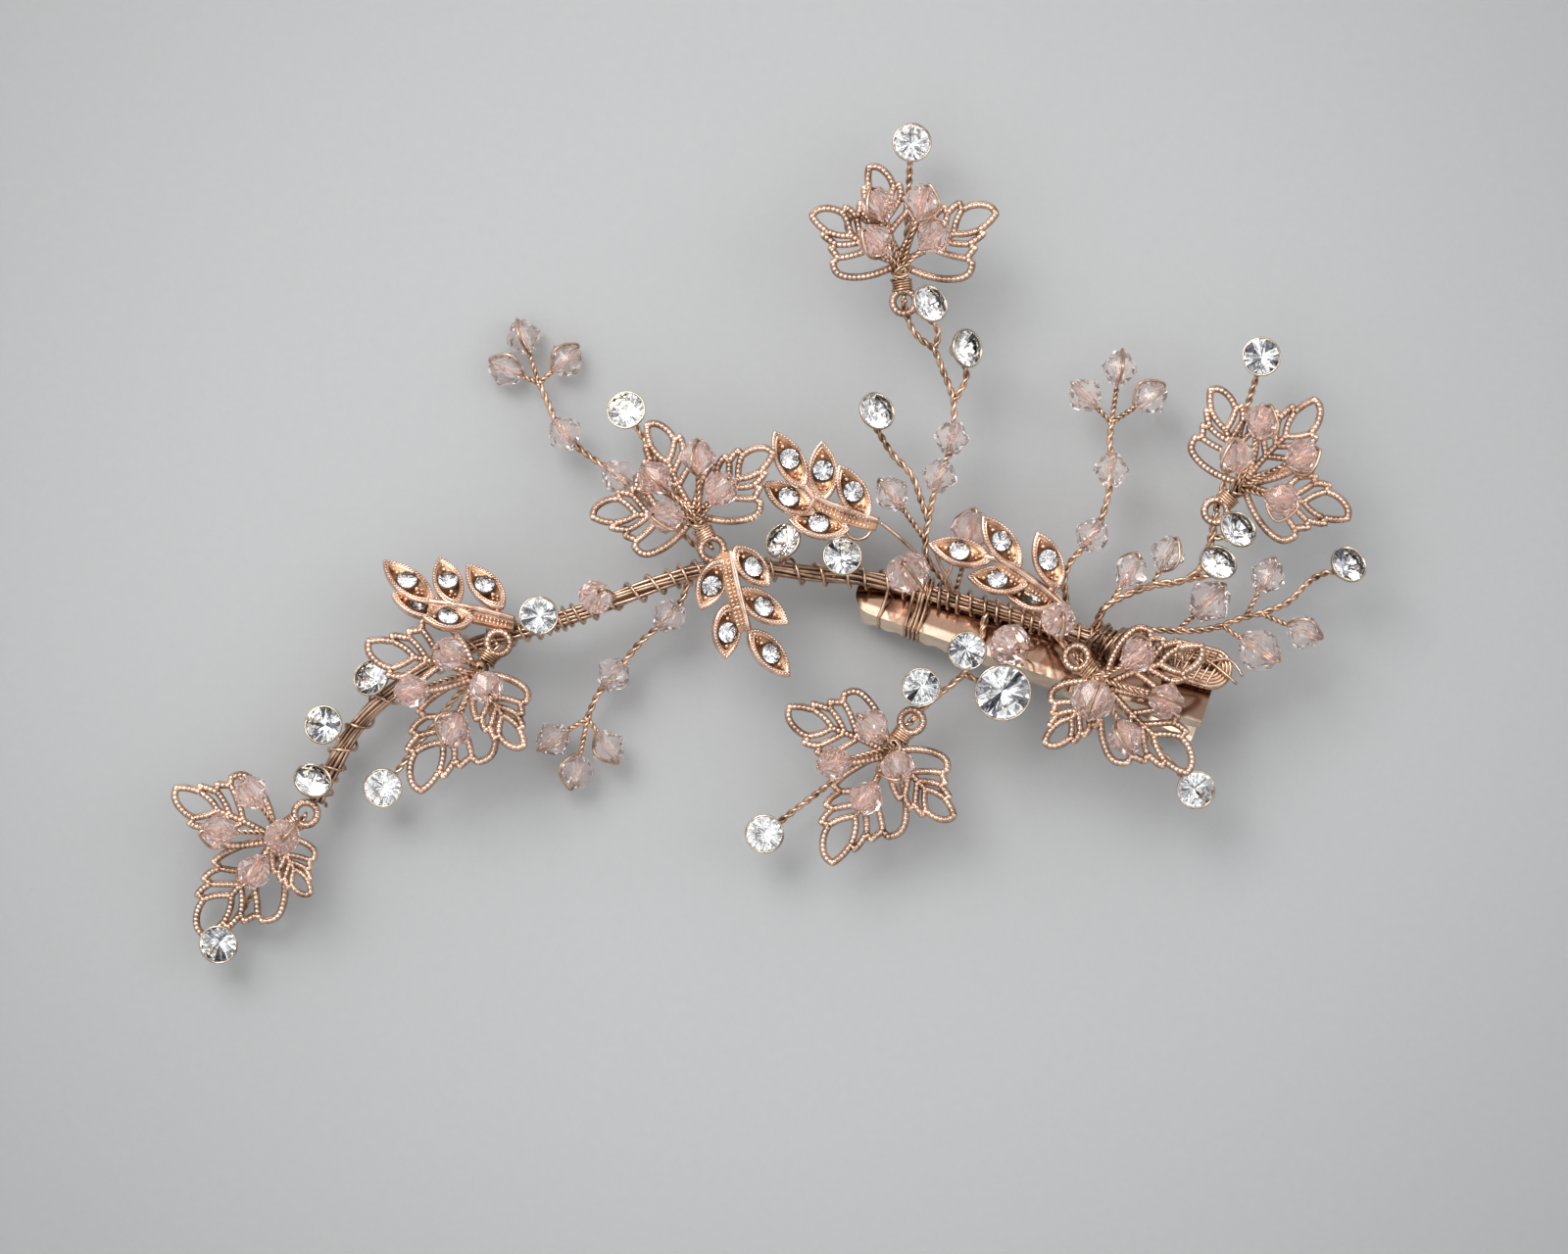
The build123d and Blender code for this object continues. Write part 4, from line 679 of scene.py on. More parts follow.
def bundle(shape, line, radius, strands, strand_radius, turns_per_metre):
    """Wires side by side round a line, wandering and twisting a little, every third one coloured dark as
    painted shade.
    """
    spaced = evenly(line, 0.0005)
    _, side, other = frames(spaced)
    run = distances(spaced)
    for strand in range(strands):
        drift = 0.18 * np.sin(run * chance.uniform(180, 420) + chance.uniform(0, 6))
        turn = strand * FULL_TURN / strands + drift + run * turns_per_metre * FULL_TURN
        reach = (radius - strand_radius) * (0.92 + 0.08 * np.sin(run * 500 + chance.uniform(0, 6)))
        strand_line = spaced + reach[:, None] * circled(turn, side, other)
        tube(shape, strand_line, strand_radius, slot=0 if strand % 3 else 2)


def binding(shape, line, radius, wire_radius, pitches):
    """A thin wire wound round a line; pitches are (share of the line, pitch there)."""
    fine = evenly(line, 0.00012)
    run = distances(fine)
    shares, pitch_there = zip(*pitches)
    pitch = np.interp(run, np.multiply(shares, distances(line)[-1]), pitch_there)
    wobble = 1 + 0.35 * np.sin(run * 900) * np.sin(run * 310 + 1)
    angle = np.r_[0, np.cumsum(np.diff(run) / (pitch * wobble)[1:])] * FULL_TURN
    _, side, other = frames(fine)
    keep = [0]
    for index in range(1, len(fine)):
        if angle[index] - angle[keep[-1]] > BINDING_TURN_STEP:
            keep.append(index)
    reach = radius * (1 + 0.08 * np.sin(angle[keep] * 0.37))
    wound = fine[keep] + reach[:, None] * circled(angle[keep], side[keep], other[keep])
    tube(shape, evenly(wound, WIRE_STEP), wire_radius)


def lathe(shape, centre, axis, profile, sides=24, slot=0):
    """Turns a profile of (radius, height) points round an axis; a radius of 0 closes an end."""
    across, other, axis = basis(axis)
    spokes = circled(np.arange(sides) * FULL_TURN / sides, across, other)
    points = []
    rings = []
    for radius, height in profile:
        middle = np.array(centre) + axis * height
        rings.append((len(points), radius == 0))
        points.extend([middle] if radius == 0 else list(middle + spokes * radius))
    quads = []
    triangles = []
    for (low, low_tip), (high, high_tip) in zip(rings, rings[1:]):
        for index in range(sides):
            after = (index + 1) % sides
            if low_tip:
                triangles.append((low, high + after, high + index))
            elif high_tip:
                triangles.append((low + index, low + after, high))
            else:
                quads.append((low + index, low + after, high + after, high + index))
    shape.add(points, [group for group in (quads, triangles) if group], slot)


def grain(shape, centre, axis, radius):
    """A small cast grain: a dome that sinks into what it sits on."""
    profile = [(0, -radius), (0.87 * radius, -0.5 * radius), (0.87 * radius, 0.5 * radius), (0, radius)]
    lathe(shape, centre, axis, profile, 6)


# ---- cut glass -------------------------------------------------------------------------------
BEAD_FACETS = 8
BEAD_CUT_GROWTH = 1.05
BEAD_LENGTH_SHARE = 0.88
BEAD_END_SHARE = 0.42
BEAD_BORE_SHARE = 0.20
BEAD_KITE_SHARE = 0.36
STONE_TABLE_SHARE = 0.27
STONE_TABLE_HEIGHT = 0.155
STONE_STAR_SHARE = 0.55
STONE_EDGE_SHARE = 0.012
STONE_DEPTH_SHARE = 0.43
STONE_LOWER_SHARE = 0.74
CUP_RIM_WALL = 0.00024


def cut_bead(shape, centre, axis, diameter):
    """A faceted bicone: on each side kites from the waist to the end, triangles between, and a bore."""
    count = BEAD_FACETS
    waist = 0.5 * diameter * BEAD_CUT_GROWTH
    half = BEAD_LENGTH_SHARE * waist
    end = BEAD_END_SHARE * waist
    bore = BEAD_BORE_SHARE * waist
    kite = (waist + (end - waist) * BEAD_KITE_SHARE) / math.cos(math.pi / count)
    kite_height = BEAD_KITE_SHARE * half
    points = np.vstack([
        around(waist, 0, count),
        around(kite, kite_height, count, 0.5),
        around(end, half, count),
        around(bore, half, count),
        around(kite, -kite_height, count, 0.5),
        around(end, -half, count),
        around(bore, -half, count),
    ])
    here = np.arange(count)
    after = (here + 1) % count
    before = (here - 1) % count
    waists, high_kites, high_ends, high_bores, low_kites, low_ends, low_bores = np.arange(7) * count
    kites = np.vstack([
        joined(waists + here, high_kites + here, high_ends + here, high_kites + before),
        joined(waists + here, low_kites + before, low_ends + here, low_kites + here),
        joined(high_ends + here, high_ends + after, high_bores + after, high_bores + here),
        joined(low_ends + here, low_bores + here, low_bores + after, low_ends + after),
    ])
    triangles = np.vstack([
        joined(high_ends + here, high_kites + here, high_ends + after),
        joined(waists + here, waists + after, high_kites + here),
        joined(low_kites + here, low_ends + here, low_ends + after),
        joined(waists + here, low_kites + here, waists + after),
    ])
    walls = joined(high_bores + here, high_bores + after, low_bores + after, low_bores + here)
    directions = basis(axis, (chance.uniform(-1, 1), chance.uniform(-1, 1), chance.uniform(-1, 1)))
    shape.add(placed(points, centre, directions), [kites, triangles, walls], smooth=False)


def cut_stone(shape, centre, facing, diameter):
    """A round brilliant: a glass crown in slot 0 over a foil-backed pavilion in slot 1."""
    girdle = 0.5 * diameter
    table = STONE_TABLE_SHARE * diameter
    table_height = STONE_TABLE_HEIGHT * diameter
    edge = STONE_EDGE_SHARE * diameter
    star_height = STONE_STAR_SHARE * table_height
    star = girdle + (table - girdle) * (star_height - edge) / (table_height - edge)
    depth = STONE_DEPTH_SHARE * diameter
    lower = girdle * (1 - STONE_LOWER_SHARE)
    spread = math.cos(math.pi / 8)
    points = np.vstack([
        around(table, table_height, 8),
        around(star / spread, star_height, 8, 0.5),
        around(girdle, edge, 16),
        around(girdle, -edge, 16),
        around(lower / spread, -STONE_LOWER_SHARE * depth, 8, 0.5),
        [(0, 0, -depth)],
    ])
    tops, stars, uppers, lowers, lows, point = 0, 8, 16, 32, 48, 56
    here = np.arange(8)
    after = (here + 1) % 8
    before = (here - 1) % 8
    main = 2 * here
    between = main + 1
    next_main = (main + 2) % 16
    ring = np.arange(16)
    ring_after = (ring + 1) % 16
    crown_kites = joined(uppers + main, stars + here, tops + here, stars + before)
    band = joined(lowers + ring, lowers + ring_after, uppers + ring_after, uppers + ring)
    crown_triangles = np.vstack([
        joined(stars + here, tops + after, tops + here),
        joined(uppers + main, uppers + between, stars + here),
        joined(uppers + between, uppers + next_main, stars + here),
    ])
    pavilion_kites = joined(lowers + main, lows + before, here * 0 + point, lows + here)
    pavilion_triangles = np.vstack([
        joined(lowers + main, lows + here, lowers + between),
        joined(lowers + between, lows + here, lowers + next_main),
    ])
    directions = basis(facing, (chance.uniform(-1, 1), chance.uniform(-1, 1), 0.01))
    base = shape.count
    crown = [crown_kites, band, crown_triangles, (tops + here)[None, :]]
    shape.add(placed(points, centre, directions), crown, 0, False)
    for group in (pavilion_kites, pavilion_triangles):
        shape.faces.append((group + base, 1, False))


def stone_cup(shape, centre, facing, diameter):
    """A stone's conical setting, with a turned rim that holds the girdle."""
    rim = 0.5 * diameter
    depth = CUP_DEPTH_SHARE * diameter
    profile = [
        (0, -depth),
        (0.17 * diameter, -depth),
        (0.20 * diameter, -0.97 * depth),
        (0.31 * diameter, -0.62 * depth),
        (0.44 * diameter, -0.24 * depth),
        (rim + 0.75 * CUP_RIM_WALL, -0.10 * depth),
        (rim + CUP_RIM_WALL, -0.02 * depth),
        (rim + CUP_RIM_WALL, 0.05 * depth),
        (rim + CUP_RIM_WALL * 2 / 3, 0.10 * depth),
        (rim + CUP_RIM_WALL / 6, 0.09 * depth),
        (rim + CUP_RIM_WALL / 12, -0.05 * depth),
        (0.30 * diameter, -0.20 * diameter),
        (0.06 * diameter, -0.42 * diameter),
        (0, -0.42 * diameter),
    ]
    lathe(shape, centre, facing, profile, 28)


# ---- beads on their wires --------------------------------------------------------------------
LOW_BEAD_HEIGHT = 0.0045
WIRE_FOOT_GAP = 0.0004
WIRE_PAST_BEAD = 0.0003
WIRE_TURN = (0.0005, 0.0006)
WIRE_SLACK = (0.00025, 0.0008)
WIRE_RETURN_SIDE = 0.0005
WIRE_SHORTEST = 0.0003


def threaded(points):
    """The beads on a route, as (centre, axis, diameter), along the wire that threads them."""
    found = []
    for before, point, after in zip(points, points[1:], points[2:]):
        if len(point) == 4:
            found.append((point[:3], np.subtract(after[:3], before[:3]), point[3]))
    return found


def held(start, beads):
    """The beads held out from one point, as (centre, axis, diameter)."""
    return [(bead[:3], np.subtract(bead[:3], start), bead[3]) for bead in beads]


def spread_route(points):
    """A route with its beads spread into straight runs through them."""
    route = []
    for index, point in enumerate(points):
        if len(point) == 3:
            route.append(point)
            continue
        direction = unit(np.subtract(points[index + 1][:3], points[index - 1][:3]))
        half = direction * 0.5 * BEAD_LENGTH_SHARE * point[3]
        route.append(tuple(np.array(point[:3]) - half))
        route.append(tuple(np.array(point[:3]) + half))
    return route


def hairpin(shape, start, bead, returns=True):
    """A bead's wire: up through the bead, over its end and loosely back, then twisted to its start."""
    centre = np.array(bead[:3])
    start = np.array(start[:3], float)
    axis = unit(centre - start)
    half = 0.5 * BEAD_LENGTH_SHARE * bead[3]
    across, _, _ = basis(axis, (chance.uniform(-1, 1), chance.uniform(-1, 1), 0.5))
    out = across * chance.choice((-1, 1))
    if centre[2] < LOW_BEAD_HEIGHT and out[2] < 0:
        out = -out
    foot = centre - axis * (half + WIRE_FOOT_GAP)
    if np.dot(foot - start, axis) < WIRE_SHORTEST:
        foot = start
    route = [foot]
    for height in (-0.6 * half, 0.6 * half, half + WIRE_PAST_BEAD):
        route.append(centre + axis * height)
    slack = 0.5 * bead[3] + chance.uniform(*WIRE_SLACK)
    if returns:
        over = [(half + WIRE_TURN[0], WIRE_TURN[1]), (0.35 * half, slack), (-0.45 * half, slack)]
        route.extend(centre + axis * height + out * aside for height, aside in over)
        route.extend([foot + out * WIRE_RETURN_SIDE, foot])
    wire(shape, route, THIN_WIRE_RADIUS, 0.00022)
    if np.linalg.norm(foot - start) > WIRE_FOOT_GAP:
        line = smooth_route([start, (start + foot) / 2, foot])
        twisted_pair(shape, line, THIN_WIRE_RADIUS, STEM_PITCH * 0.62)


# ---- the spine: a bundle of wires bound round with a thin one ----------------------------------
SPINE_STRANDS = 9
SPINE_STRAND_RADIUS = 0.00021
SPINE_TURNS_PER_METRE = 9.0
SPINE_CORE_SHARE = 0.66
BINDING_GAP = 0.00014
# The binding's pitch at shares of the spine's length, from its left end.
SPINE_PITCHES = [
    (0.0, 0.0013), (0.03, 0.0013), (0.06, 0.0036), (0.16, 0.0042), (0.20, 0.0022), (0.24, 0.0030),
    (0.30, 0.0011), (0.34, 0.0009), (0.38, 0.0030), (0.44, 0.0024), (0.50, 0.0012), (0.54, 0.0032),
    (0.60, 0.0026), (0.66, 0.0030), (0.70, 0.0013), (0.74, 0.0015), (0.80, 0.0014), (0.88, 0.0015),
    (0.94, 0.0009), (1.0, 0.0007),
]

spine_line = smooth_route(spine_route)
spine = Shape()
# The core is coloured dark, as painted shade seen between the strands.
tube(spine, evenly(spine_line, 0.001), SPINE_RADIUS * SPINE_CORE_SHARE, 8, slot=1)
bundle(spine, spine_line, SPINE_RADIUS, SPINE_STRANDS, SPINE_STRAND_RADIUS, SPINE_TURNS_PER_METRE)
piece("spine_bundle", spine, [spine_gold, dark_painted_shade, painted_shade_wire], ["spine_wires"])

spine_binding = Shape()
bound_radius = SPINE_RADIUS + BINDING_RADIUS + BINDING_GAP
binding(spine_binding, spine_line, bound_radius, BINDING_RADIUS, SPINE_PITCHES)
piece("spine_binding", spine_binding, [wire_gold], ["spine_binding_wire"])

# ---- stems and the beads threaded on them -----------------------------------------------------
SECOND_PAIR_OFFSET = (0.00022, 0.00022, 0.0003)
# Each stem: its routes, and the beads held out from it as (start, beads).
STEMS = {
    "branch_a": ([branch_a_route], [(branch_a_route[-1], branch_a_end_beads)]),
    "branch_b": ([branch_b_route], [(branch_b_route[-1], branch_b_end_beads)]),
    "branch_c": ([branch_c_route], [(branch_c_route[-1], branch_c_end_beads)]),
    "branch_d": (
        [branch_d_route, branch_d_left_route, branch_d_right_route, branch_d_upper_route],
        [(branch_d_side_start, branch_d_side_beads)],
    ),
    "branch_e": (
        [branch_e_route, branch_e_upper_route, branch_e_lower_route],
        [(start, [bead]) for start, bead in branch_e_bead_starts],
    ),
    "branch_f": ([branch_f_route], [(start, [bead]) for start, bead in branch_f_bead_starts]),
    "leaf_6": ([leaf_6_route, leaf_6_base_route, clip_side_route, large_stone_route], []),
    "leaf_7": ([leaf_7_route], []),
    "spine_stone": (spine_stone_routes, []),
    "spine": ([], [(start, [bead]) for start, bead in spine_bead_starts]),
}
STEM_NODES = {"spine_stone": "spine_stone_stems", "spine": "spine_bead_wires"}
DOUBLED_ROUTES = (branch_e_route, leaf_6_route)

for name, (routes, ends) in STEMS.items():
    stem = Shape()
    beads = Shape()
    for route in routes:
        line = smooth_route(spread_route(route))
        twisted_pair(stem, line)
        if route in DOUBLED_ROUTES:
            twisted_pair(stem, line + np.array(SECOND_PAIR_OFFSET), pitch=STEM_PITCH * 1.25)
        for bead in threaded(route):
            cut_bead(beads, *bead)
    for start, held_beads in ends:
        for bead, cut in zip(held_beads, held(start, held_beads)):
            hairpin(stem, start, bead)
            cut_bead(beads, *cut)
    stem_node = STEM_NODES.get(name, f"{name}_stem")
    piece(f"{name}_twisted_wires", stem, [wire_gold], [stem_node])
    if beads.count:
        material, slot = pale_pink_glass, "pale_pink_crystal"
        if name == "spine":
            material, slot = rose_glass, "rose_crystal"
        piece(f"{name}_cut_beads", beads, [material], [f"{name}_beads"])

# ---- filigree leaves --------------------------------------------------------------------------
FILIGREE_RADIUS = 0.00037
LOBE_FULL_LENGTH = 0.0090
LEAF_HUB_DISTANCE = 0.0036
LOBE_ROOT_DISTANCE = 0.0045
LEAF_RING_RADIUS = 0.0013
LEAF_BAR_OFFSETS = (-0.0005, 0.0, 0.0005)
LEAF_KNOT_HEIGHT = 0.0011
LEAF_STEM_DROP = 0.00035
PLATE_RAISE = 0.0003
BEAD_ROW_RAISE = 0.00008
STRIP_EDGE_DROP = 0.00016
KNOT_LOOPS = 12
WRAP_RADIUS = 0.00115
WRAP_SPAN = (0.0014, 0.0026)
WRAP_TURNS = 4

# A lobe's rim, veins and midrib as (along, out) points, in shares of its length; out is to its wide
# side. A tooth of the rim is given twice, so that the smooth line turns sharply there.
LOBE_TEETH = [
    (0.605, 0.305), (0.692, 0.192), (0.822, 0.110), (1.0, 0.0),
    (0.745, -0.232), (0.605, -0.264), (0.44, -0.278),
]
LOBE_RIM = [
    (0.02, 0.04), (0.09, 0.13), (0.19, 0.235), (0.32, 0.33), (0.46, 0.385), (0.545, 0.372), LOBE_TEETH[0],
    LOBE_TEETH[0], (0.580, 0.242), (0.635, 0.215), LOBE_TEETH[1], LOBE_TEETH[1], (0.655, 0.132),
    (0.74, 0.128), LOBE_TEETH[2], LOBE_TEETH[2], (0.785, 0.062), (0.89, 0.052), LOBE_TEETH[3],
    LOBE_TEETH[3], (0.985, -0.08), (0.91, -0.14), (0.81, -0.172), (0.735, -0.165), LOBE_TEETH[4],
    LOBE_TEETH[4], (0.665, -0.226), (0.600, -0.190), LOBE_TEETH[5], LOBE_TEETH[5], (0.52, -0.252),
    (0.45, -0.200), LOBE_TEETH[6], LOBE_TEETH[6], (0.33, -0.248), (0.18, -0.16), (0.03, -0.05),
]
LOBE_VEINS = [
    [(0.58, -0.01), (0.655, 0.052), (0.785, 0.062)],
    [(0.46, 0.0), (0.545, 0.088), (0.655, 0.132)],
    [(0.33, 0.01), (0.44, 0.15), (0.580, 0.242)],
    [(0.58, -0.01), (0.635, -0.105), (0.735, -0.165)],
    [(0.46, -0.01), (0.53, -0.10), (0.600, -0.190)],
    [(0.33, -0.01), (0.40, -0.10), (0.45, -0.200)],
    [(0.0, 0.0), (0.2, 0.012), (0.4, 0.004), (0.58, -0.01)],
]


def leaf_hub(leaf):
    """The middle of a leaf, where its lobes meet, set out from its ring."""
    ring = np.array(leaf["ring"])
    middle = np.mean(leaf["tips"], axis=0)
    level = np.array((middle[0] - ring[0], middle[1] - ring[1], 0))
    return ring + unit(level) * LEAF_HUB_DISTANCE


def beaded_strip(shape, line, radius, normal, closed=False):
    """A flat strip with smooth edges coloured darker as painted shade, and a row of beads along its middle.
    """
    spaced = evenly(line, WIRE_STEP, closed)
    tangent, _, _ = frames(spaced, closed)
    side = np.cross(normal, tangent)
    milgrain(shape, line + normal * BEAD_ROW_RAISE, radius, closed)
    # The edges take slot 1, coloured dark as painted shade.
    for offset in (-0.65 * radius, 0.65 * radius):
        edge = spaced + side * offset - normal * STRIP_EDGE_DROP
        tube(shape, edge, radius * 0.5, closed=closed, slot=1)


def lobe(shape, root, tip, back):
    """One pierced lobe: a toothed rim, a midrib and veins between its cells."""
    along = np.array(tip) - root
    length = np.linalg.norm(along)
    along = along / length
    left = unit(np.cross(UP, along))
    wide = left if np.dot(left, back) > 0 else -left
    normal = np.cross(along, left)

    def carried(outline):
        """Lifts flat points into the lobe's slightly arched sheet."""
        outline = np.asarray(outline, float)
        arch = 0.05 * np.sin(outline[:, 0] * math.pi) - 0.30 * outline[:, 1] ** 2
        flat = outline[:, :1] * along + outline[:, 1:] * wide
        return root + length * (flat + arch[:, None] * normal) + normal * PLATE_RAISE

    radius = FILIGREE_RADIUS * min(1.0, max(0.7, length / LOBE_FULL_LENGTH))
    beaded_strip(shape, smooth_route(carried(LOBE_RIM)), radius, normal)
    for vein in LOBE_VEINS:
        beaded_strip(shape, smooth_route(carried(vein)), radius * 0.92, normal)
    for tooth in carried(LOBE_TEETH):
        grain(shape, tooth, normal, radius * 1.15)


def leaf_plate(leaf, ring, hub, outward, cross):
    """A leaf's three lobes, its binding ring and the bars between them."""
    plate = Shape()
    for tip in leaf["tips"]:
        lobe(plate, ring + outward * LOBE_ROOT_DISTANCE, tip, -outward)
    ring_turn = np.linspace(0, FULL_TURN, 28, endpoint=False)
    ring_line = ring + LEAF_RING_RADIUS * circled(ring_turn, outward, cross) + UP * PLATE_RAISE
    beaded_strip(plate, ring_line, FILIGREE_RADIUS, UP, closed=True)
    for offset in LEAF_BAR_OFFSETS:
        bar = np.linspace(ring + outward * LEAF_RING_RADIUS, hub + outward * 0.0012, 8)
        milgrain(plate, bar + cross * offset + UP * PLATE_RAISE, FILIGREE_RADIUS)
    return plate


def knot_loops(shape, knot):
    """Small loops of wire in a loose knot, alternately gold and coloured dark as painted shade."""
    for turn in range(KNOT_LOOPS):
        lean = (chance.uniform(-1, 1), chance.uniform(-1, 1), chance.uniform(0.2, 1.4))
        across, other, _ = basis(unit(lean))
        angle = np.linspace(0, FULL_TURN, 16, endpoint=False)
        reach = chance.uniform(0.0005, 0.0010)
        loop = knot - UP * 0.0003 + reach * circled(angle, across, other)
        tube(shape, loop, THIN_WIRE_RADIUS, closed=True, slot=turn % 2)


for number, leaf in LEAVES.items():
    hub = leaf_hub(leaf)
    ring = np.array(leaf["ring"])
    outward = unit(hub - ring)
    cross = np.cross(UP, outward)
    plate = leaf_plate(leaf, ring, hub, outward, cross)
    plate_node = f"filigree_leaf_{number}"
    piece(f"leaf_{number}_filigree", plate, [leaf_gold, edge_painted_shade], [plate_node])

    knot = hub + UP * LEAF_KNOT_HEIGHT
    wires = Shape()
    beads = Shape()
    for bead, cut in zip(leaf["beads"], held(knot, leaf["beads"])):
        hairpin(wires, knot, bead, chance.random() < 0.75)
        cut_bead(beads, *cut)
    knot_loops(wires, knot)
    wrap_start, wrap_end = WRAP_SPAN
    wrap = np.linspace(ring + outward * wrap_start, ring + outward * wrap_end, 30) + UP * 0.0002
    angle = np.linspace(0, WRAP_TURNS * FULL_TURN, 30)
    wire(wires, wrap + WRAP_RADIUS * circled(angle, cross, UP * 0.75), THIN_WIRE_RADIUS)
    wires_node = f"leaf_{number}_bead_wires"
    piece(f"leaf_{number}_wires", wires, [wire_gold, painted_shade_wire], [wires_node])
    piece(f"leaf_{number}_cut_beads", beads, [rose_glass], [f"leaf_{number}_beads"])

leaf_stems = Shape()
for leaf in LEAVES.values():
    ring = np.array(leaf["ring"])
    back = np.array(cup_back(leaf["stone"]))
    middle = (ring + back) / 2
    route = [ring - UP * LEAF_STEM_DROP, (middle[0], middle[1], leaf["stem_height"]), back]
    twisted_pair(leaf_stems, smooth_route(route))
piece("leaf_stone_wires", leaf_stems, [wire_gold], ["leaf_stone_stems"])

# ---- set stones -------------------------------------------------------------------------------
for size, diameter_of in (("small", STONE), ("large", LARGE_STONE)):
    cups = Shape()
    stones = Shape()
    for centre, facing, diameter in CHATONS.values():
        if diameter == diameter_of:
            stone_cup(cups, centre, facing, diameter)
            cut_stone(stones, centre, facing, diameter)
    piece(f"cups_{size}", cups, [cup_brass], [f"stone_cups_{size}"])
    piece(f"stones_{size}", stones, [clear_glass, foil_painted_reflections], [f"set_stones_{size}"])

# ---- cast sprays ------------------------------------------------------------------------------
SPRAY_CRYSTAL = 0.00225
SPRAY_CRYSTAL_RAISE = 0.00016
LEAFLET_WIDTH = 0.0034
LEAFLET_BASE_SHARE = 1.05
LEAFLET_STEPS = 40
# A leaflet's section from its underside round to its floor: how far in from its outline, and how high.
LEAFLET_SECTION = [
    (0.00034, -0.00100),
    (0.00006, -0.00078),
    (0.00000, -0.00045),
    (0.00000, -0.00004),
    (0.00005, 0.00006),
    (0.00030, 0.00005),
    (0.00034, -0.00008),
    (0.00038, -0.00014),
    (0.00043, -0.00003),
    (0.00050, -0.00003),
    (0.00055, -0.00022),
]
LEAFLET_FLOOR_LEVELS = 3
LEAFLET_FLOOR = -0.00024
LEAFLET_PIT = -0.00092
RIM_INSET = 0.00018
RIM_HEIGHT = 0.00011
RIM_GRAIN_RADIUS = 0.00019
RIM_GRAIN_PITCH = 0.00037
# A leaflet's grains: along and across from its stone's middle, and the grain's radius.
LEAFLET_GRAINS = [
    (0.00156, 0.0, 0.00032), (-0.00156, 0.0, 0.00030), (0.00212, 0.0, 0.00016),
    (-0.00204, 0.00030, 0.00018), (-0.00204, -0.00030, 0.00018), (-0.00242, 0.0, 0.00015),
]
GRAIN_SINK = -0.00008
# The stone's seat, as (out from the stone's radius, height).
SEAT_SECTION = [
    (0.00014, -0.00030), (0.00014, 0.00003), (0.00008, 0.00007), (0.00004, 0.00003), (0.00002, -0.00030),
]
# How far each spray's leaflets lean from the way it faces.
LEAFLET_TILT = {2: (0.35, 0.40, 0), 3: (0.15, 0.32, 0), 4: (0.20, 0.60, 0)}
RIB_RAISE = 0.00055
RIB_THICKNESS = 0.00020
RIB_UNDERSIDE_RADIUS = 0.00042
WEB_WIDTH = 0.0016
WEB_OFFSET = 0.0006
WEB_THICKNESS = 0.0005
# The rows of grains on the web beside the midrib: how far out each one is.
WEB_GRAIN_ROWS = (0.0005, 0.0009025, 0.00104)
WEB_GRAIN_PITCH = 0.00046


def leaflet(cast, stones, crystal, tip, facing):
    """A pointed oval with a beaded rim, a sunk floor with grains and a set stone."""
    towards = np.subtract(tip, crystal)
    reach = np.linalg.norm(towards)
    along = unit(towards)
    normal = unit(np.cross(along, np.cross(facing, along)))
    directions = (along, np.cross(normal, along), normal)
    base = -LEAFLET_BASE_SHARE * reach
    half_length = (reach - base) / 2
    middle = (reach + base) / 2
    count = LEAFLET_STEPS
    turn = np.linspace(0, FULL_TURN, count, endpoint=False)
    outline_x = np.cos(turn)
    fullness = 0.76 + 0.10 * outline_x
    outline_y = np.sign(np.sin(turn)) * (1 - outline_x ** 2) ** fullness * (1 - 0.08 * outline_x)

    def outline(inset, height):
        """The leaflet's outline drawn in by an inset, at a height."""
        x = middle + outline_x * (half_length - inset * 1.9)
        return joined(x, outline_y * (LEAFLET_WIDTH / 2 - inset), np.full(count, height))

    rings = [outline(inset, height) for inset, height in LEAFLET_SECTION]
    seat_radius = SPRAY_CRYSTAL / 2
    reach_out = np.linalg.norm(rings[-1][:, :2], axis=1, keepdims=True)
    pit = rings[-1] * np.minimum(1 - 0.00002 / reach_out, seat_radius / reach_out)
    pit[:, 2] = LEAFLET_FLOOR
    rings.append(pit)
    points = np.vstack(rings + [[(middle, 0, LEAFLET_SECTION[0][1])], [(0, 0, LEAFLET_PIT)]])
    here = np.arange(count)
    after = (here + 1) % count
    levels = np.arange(len(rings) - 1) * count
    walls = [
        joined(level + here, level + after, level + count + after, level + count + here) for level in levels
    ]
    under = len(rings) * count
    last = under - count
    under_fan = joined(after, here, here * 0 + under)
    floor_fan = joined(last + here, last + after, here * 0 + under + 1)
    first_point = cast.count
    body = [np.vstack(walls[:-LEAFLET_FLOOR_LEVELS]), under_fan]
    cast.add(placed(points, crystal, directions), body)
    for group in (np.vstack(walls[-LEAFLET_FLOOR_LEVELS:]), floor_fan):
        cast.faces.append((group + first_point, 1, True))
    rim = placed(outline(RIM_INSET, RIM_HEIGHT), crystal, directions)
    for point in evenly(rim, RIM_GRAIN_PITCH, closed=True):
        grain(cast, point, normal, RIM_GRAIN_RADIUS)
    for place_along, place_across, radius in LEAFLET_GRAINS:
        spot = placed([(place_along, place_across, GRAIN_SINK)], crystal, directions)[0]
        grain(cast, spot, normal, radius)
    seat = [(seat_radius + out, height) for out, height in SEAT_SECTION]
    # The seat is coloured dark, as painted shade round the stone.
    lathe(cast, crystal, normal, seat, 24, slot=2)
    cut_stone(stones, np.array(crystal) + normal * SPRAY_CRYSTAL_RAISE, normal, SPRAY_CRYSTAL)


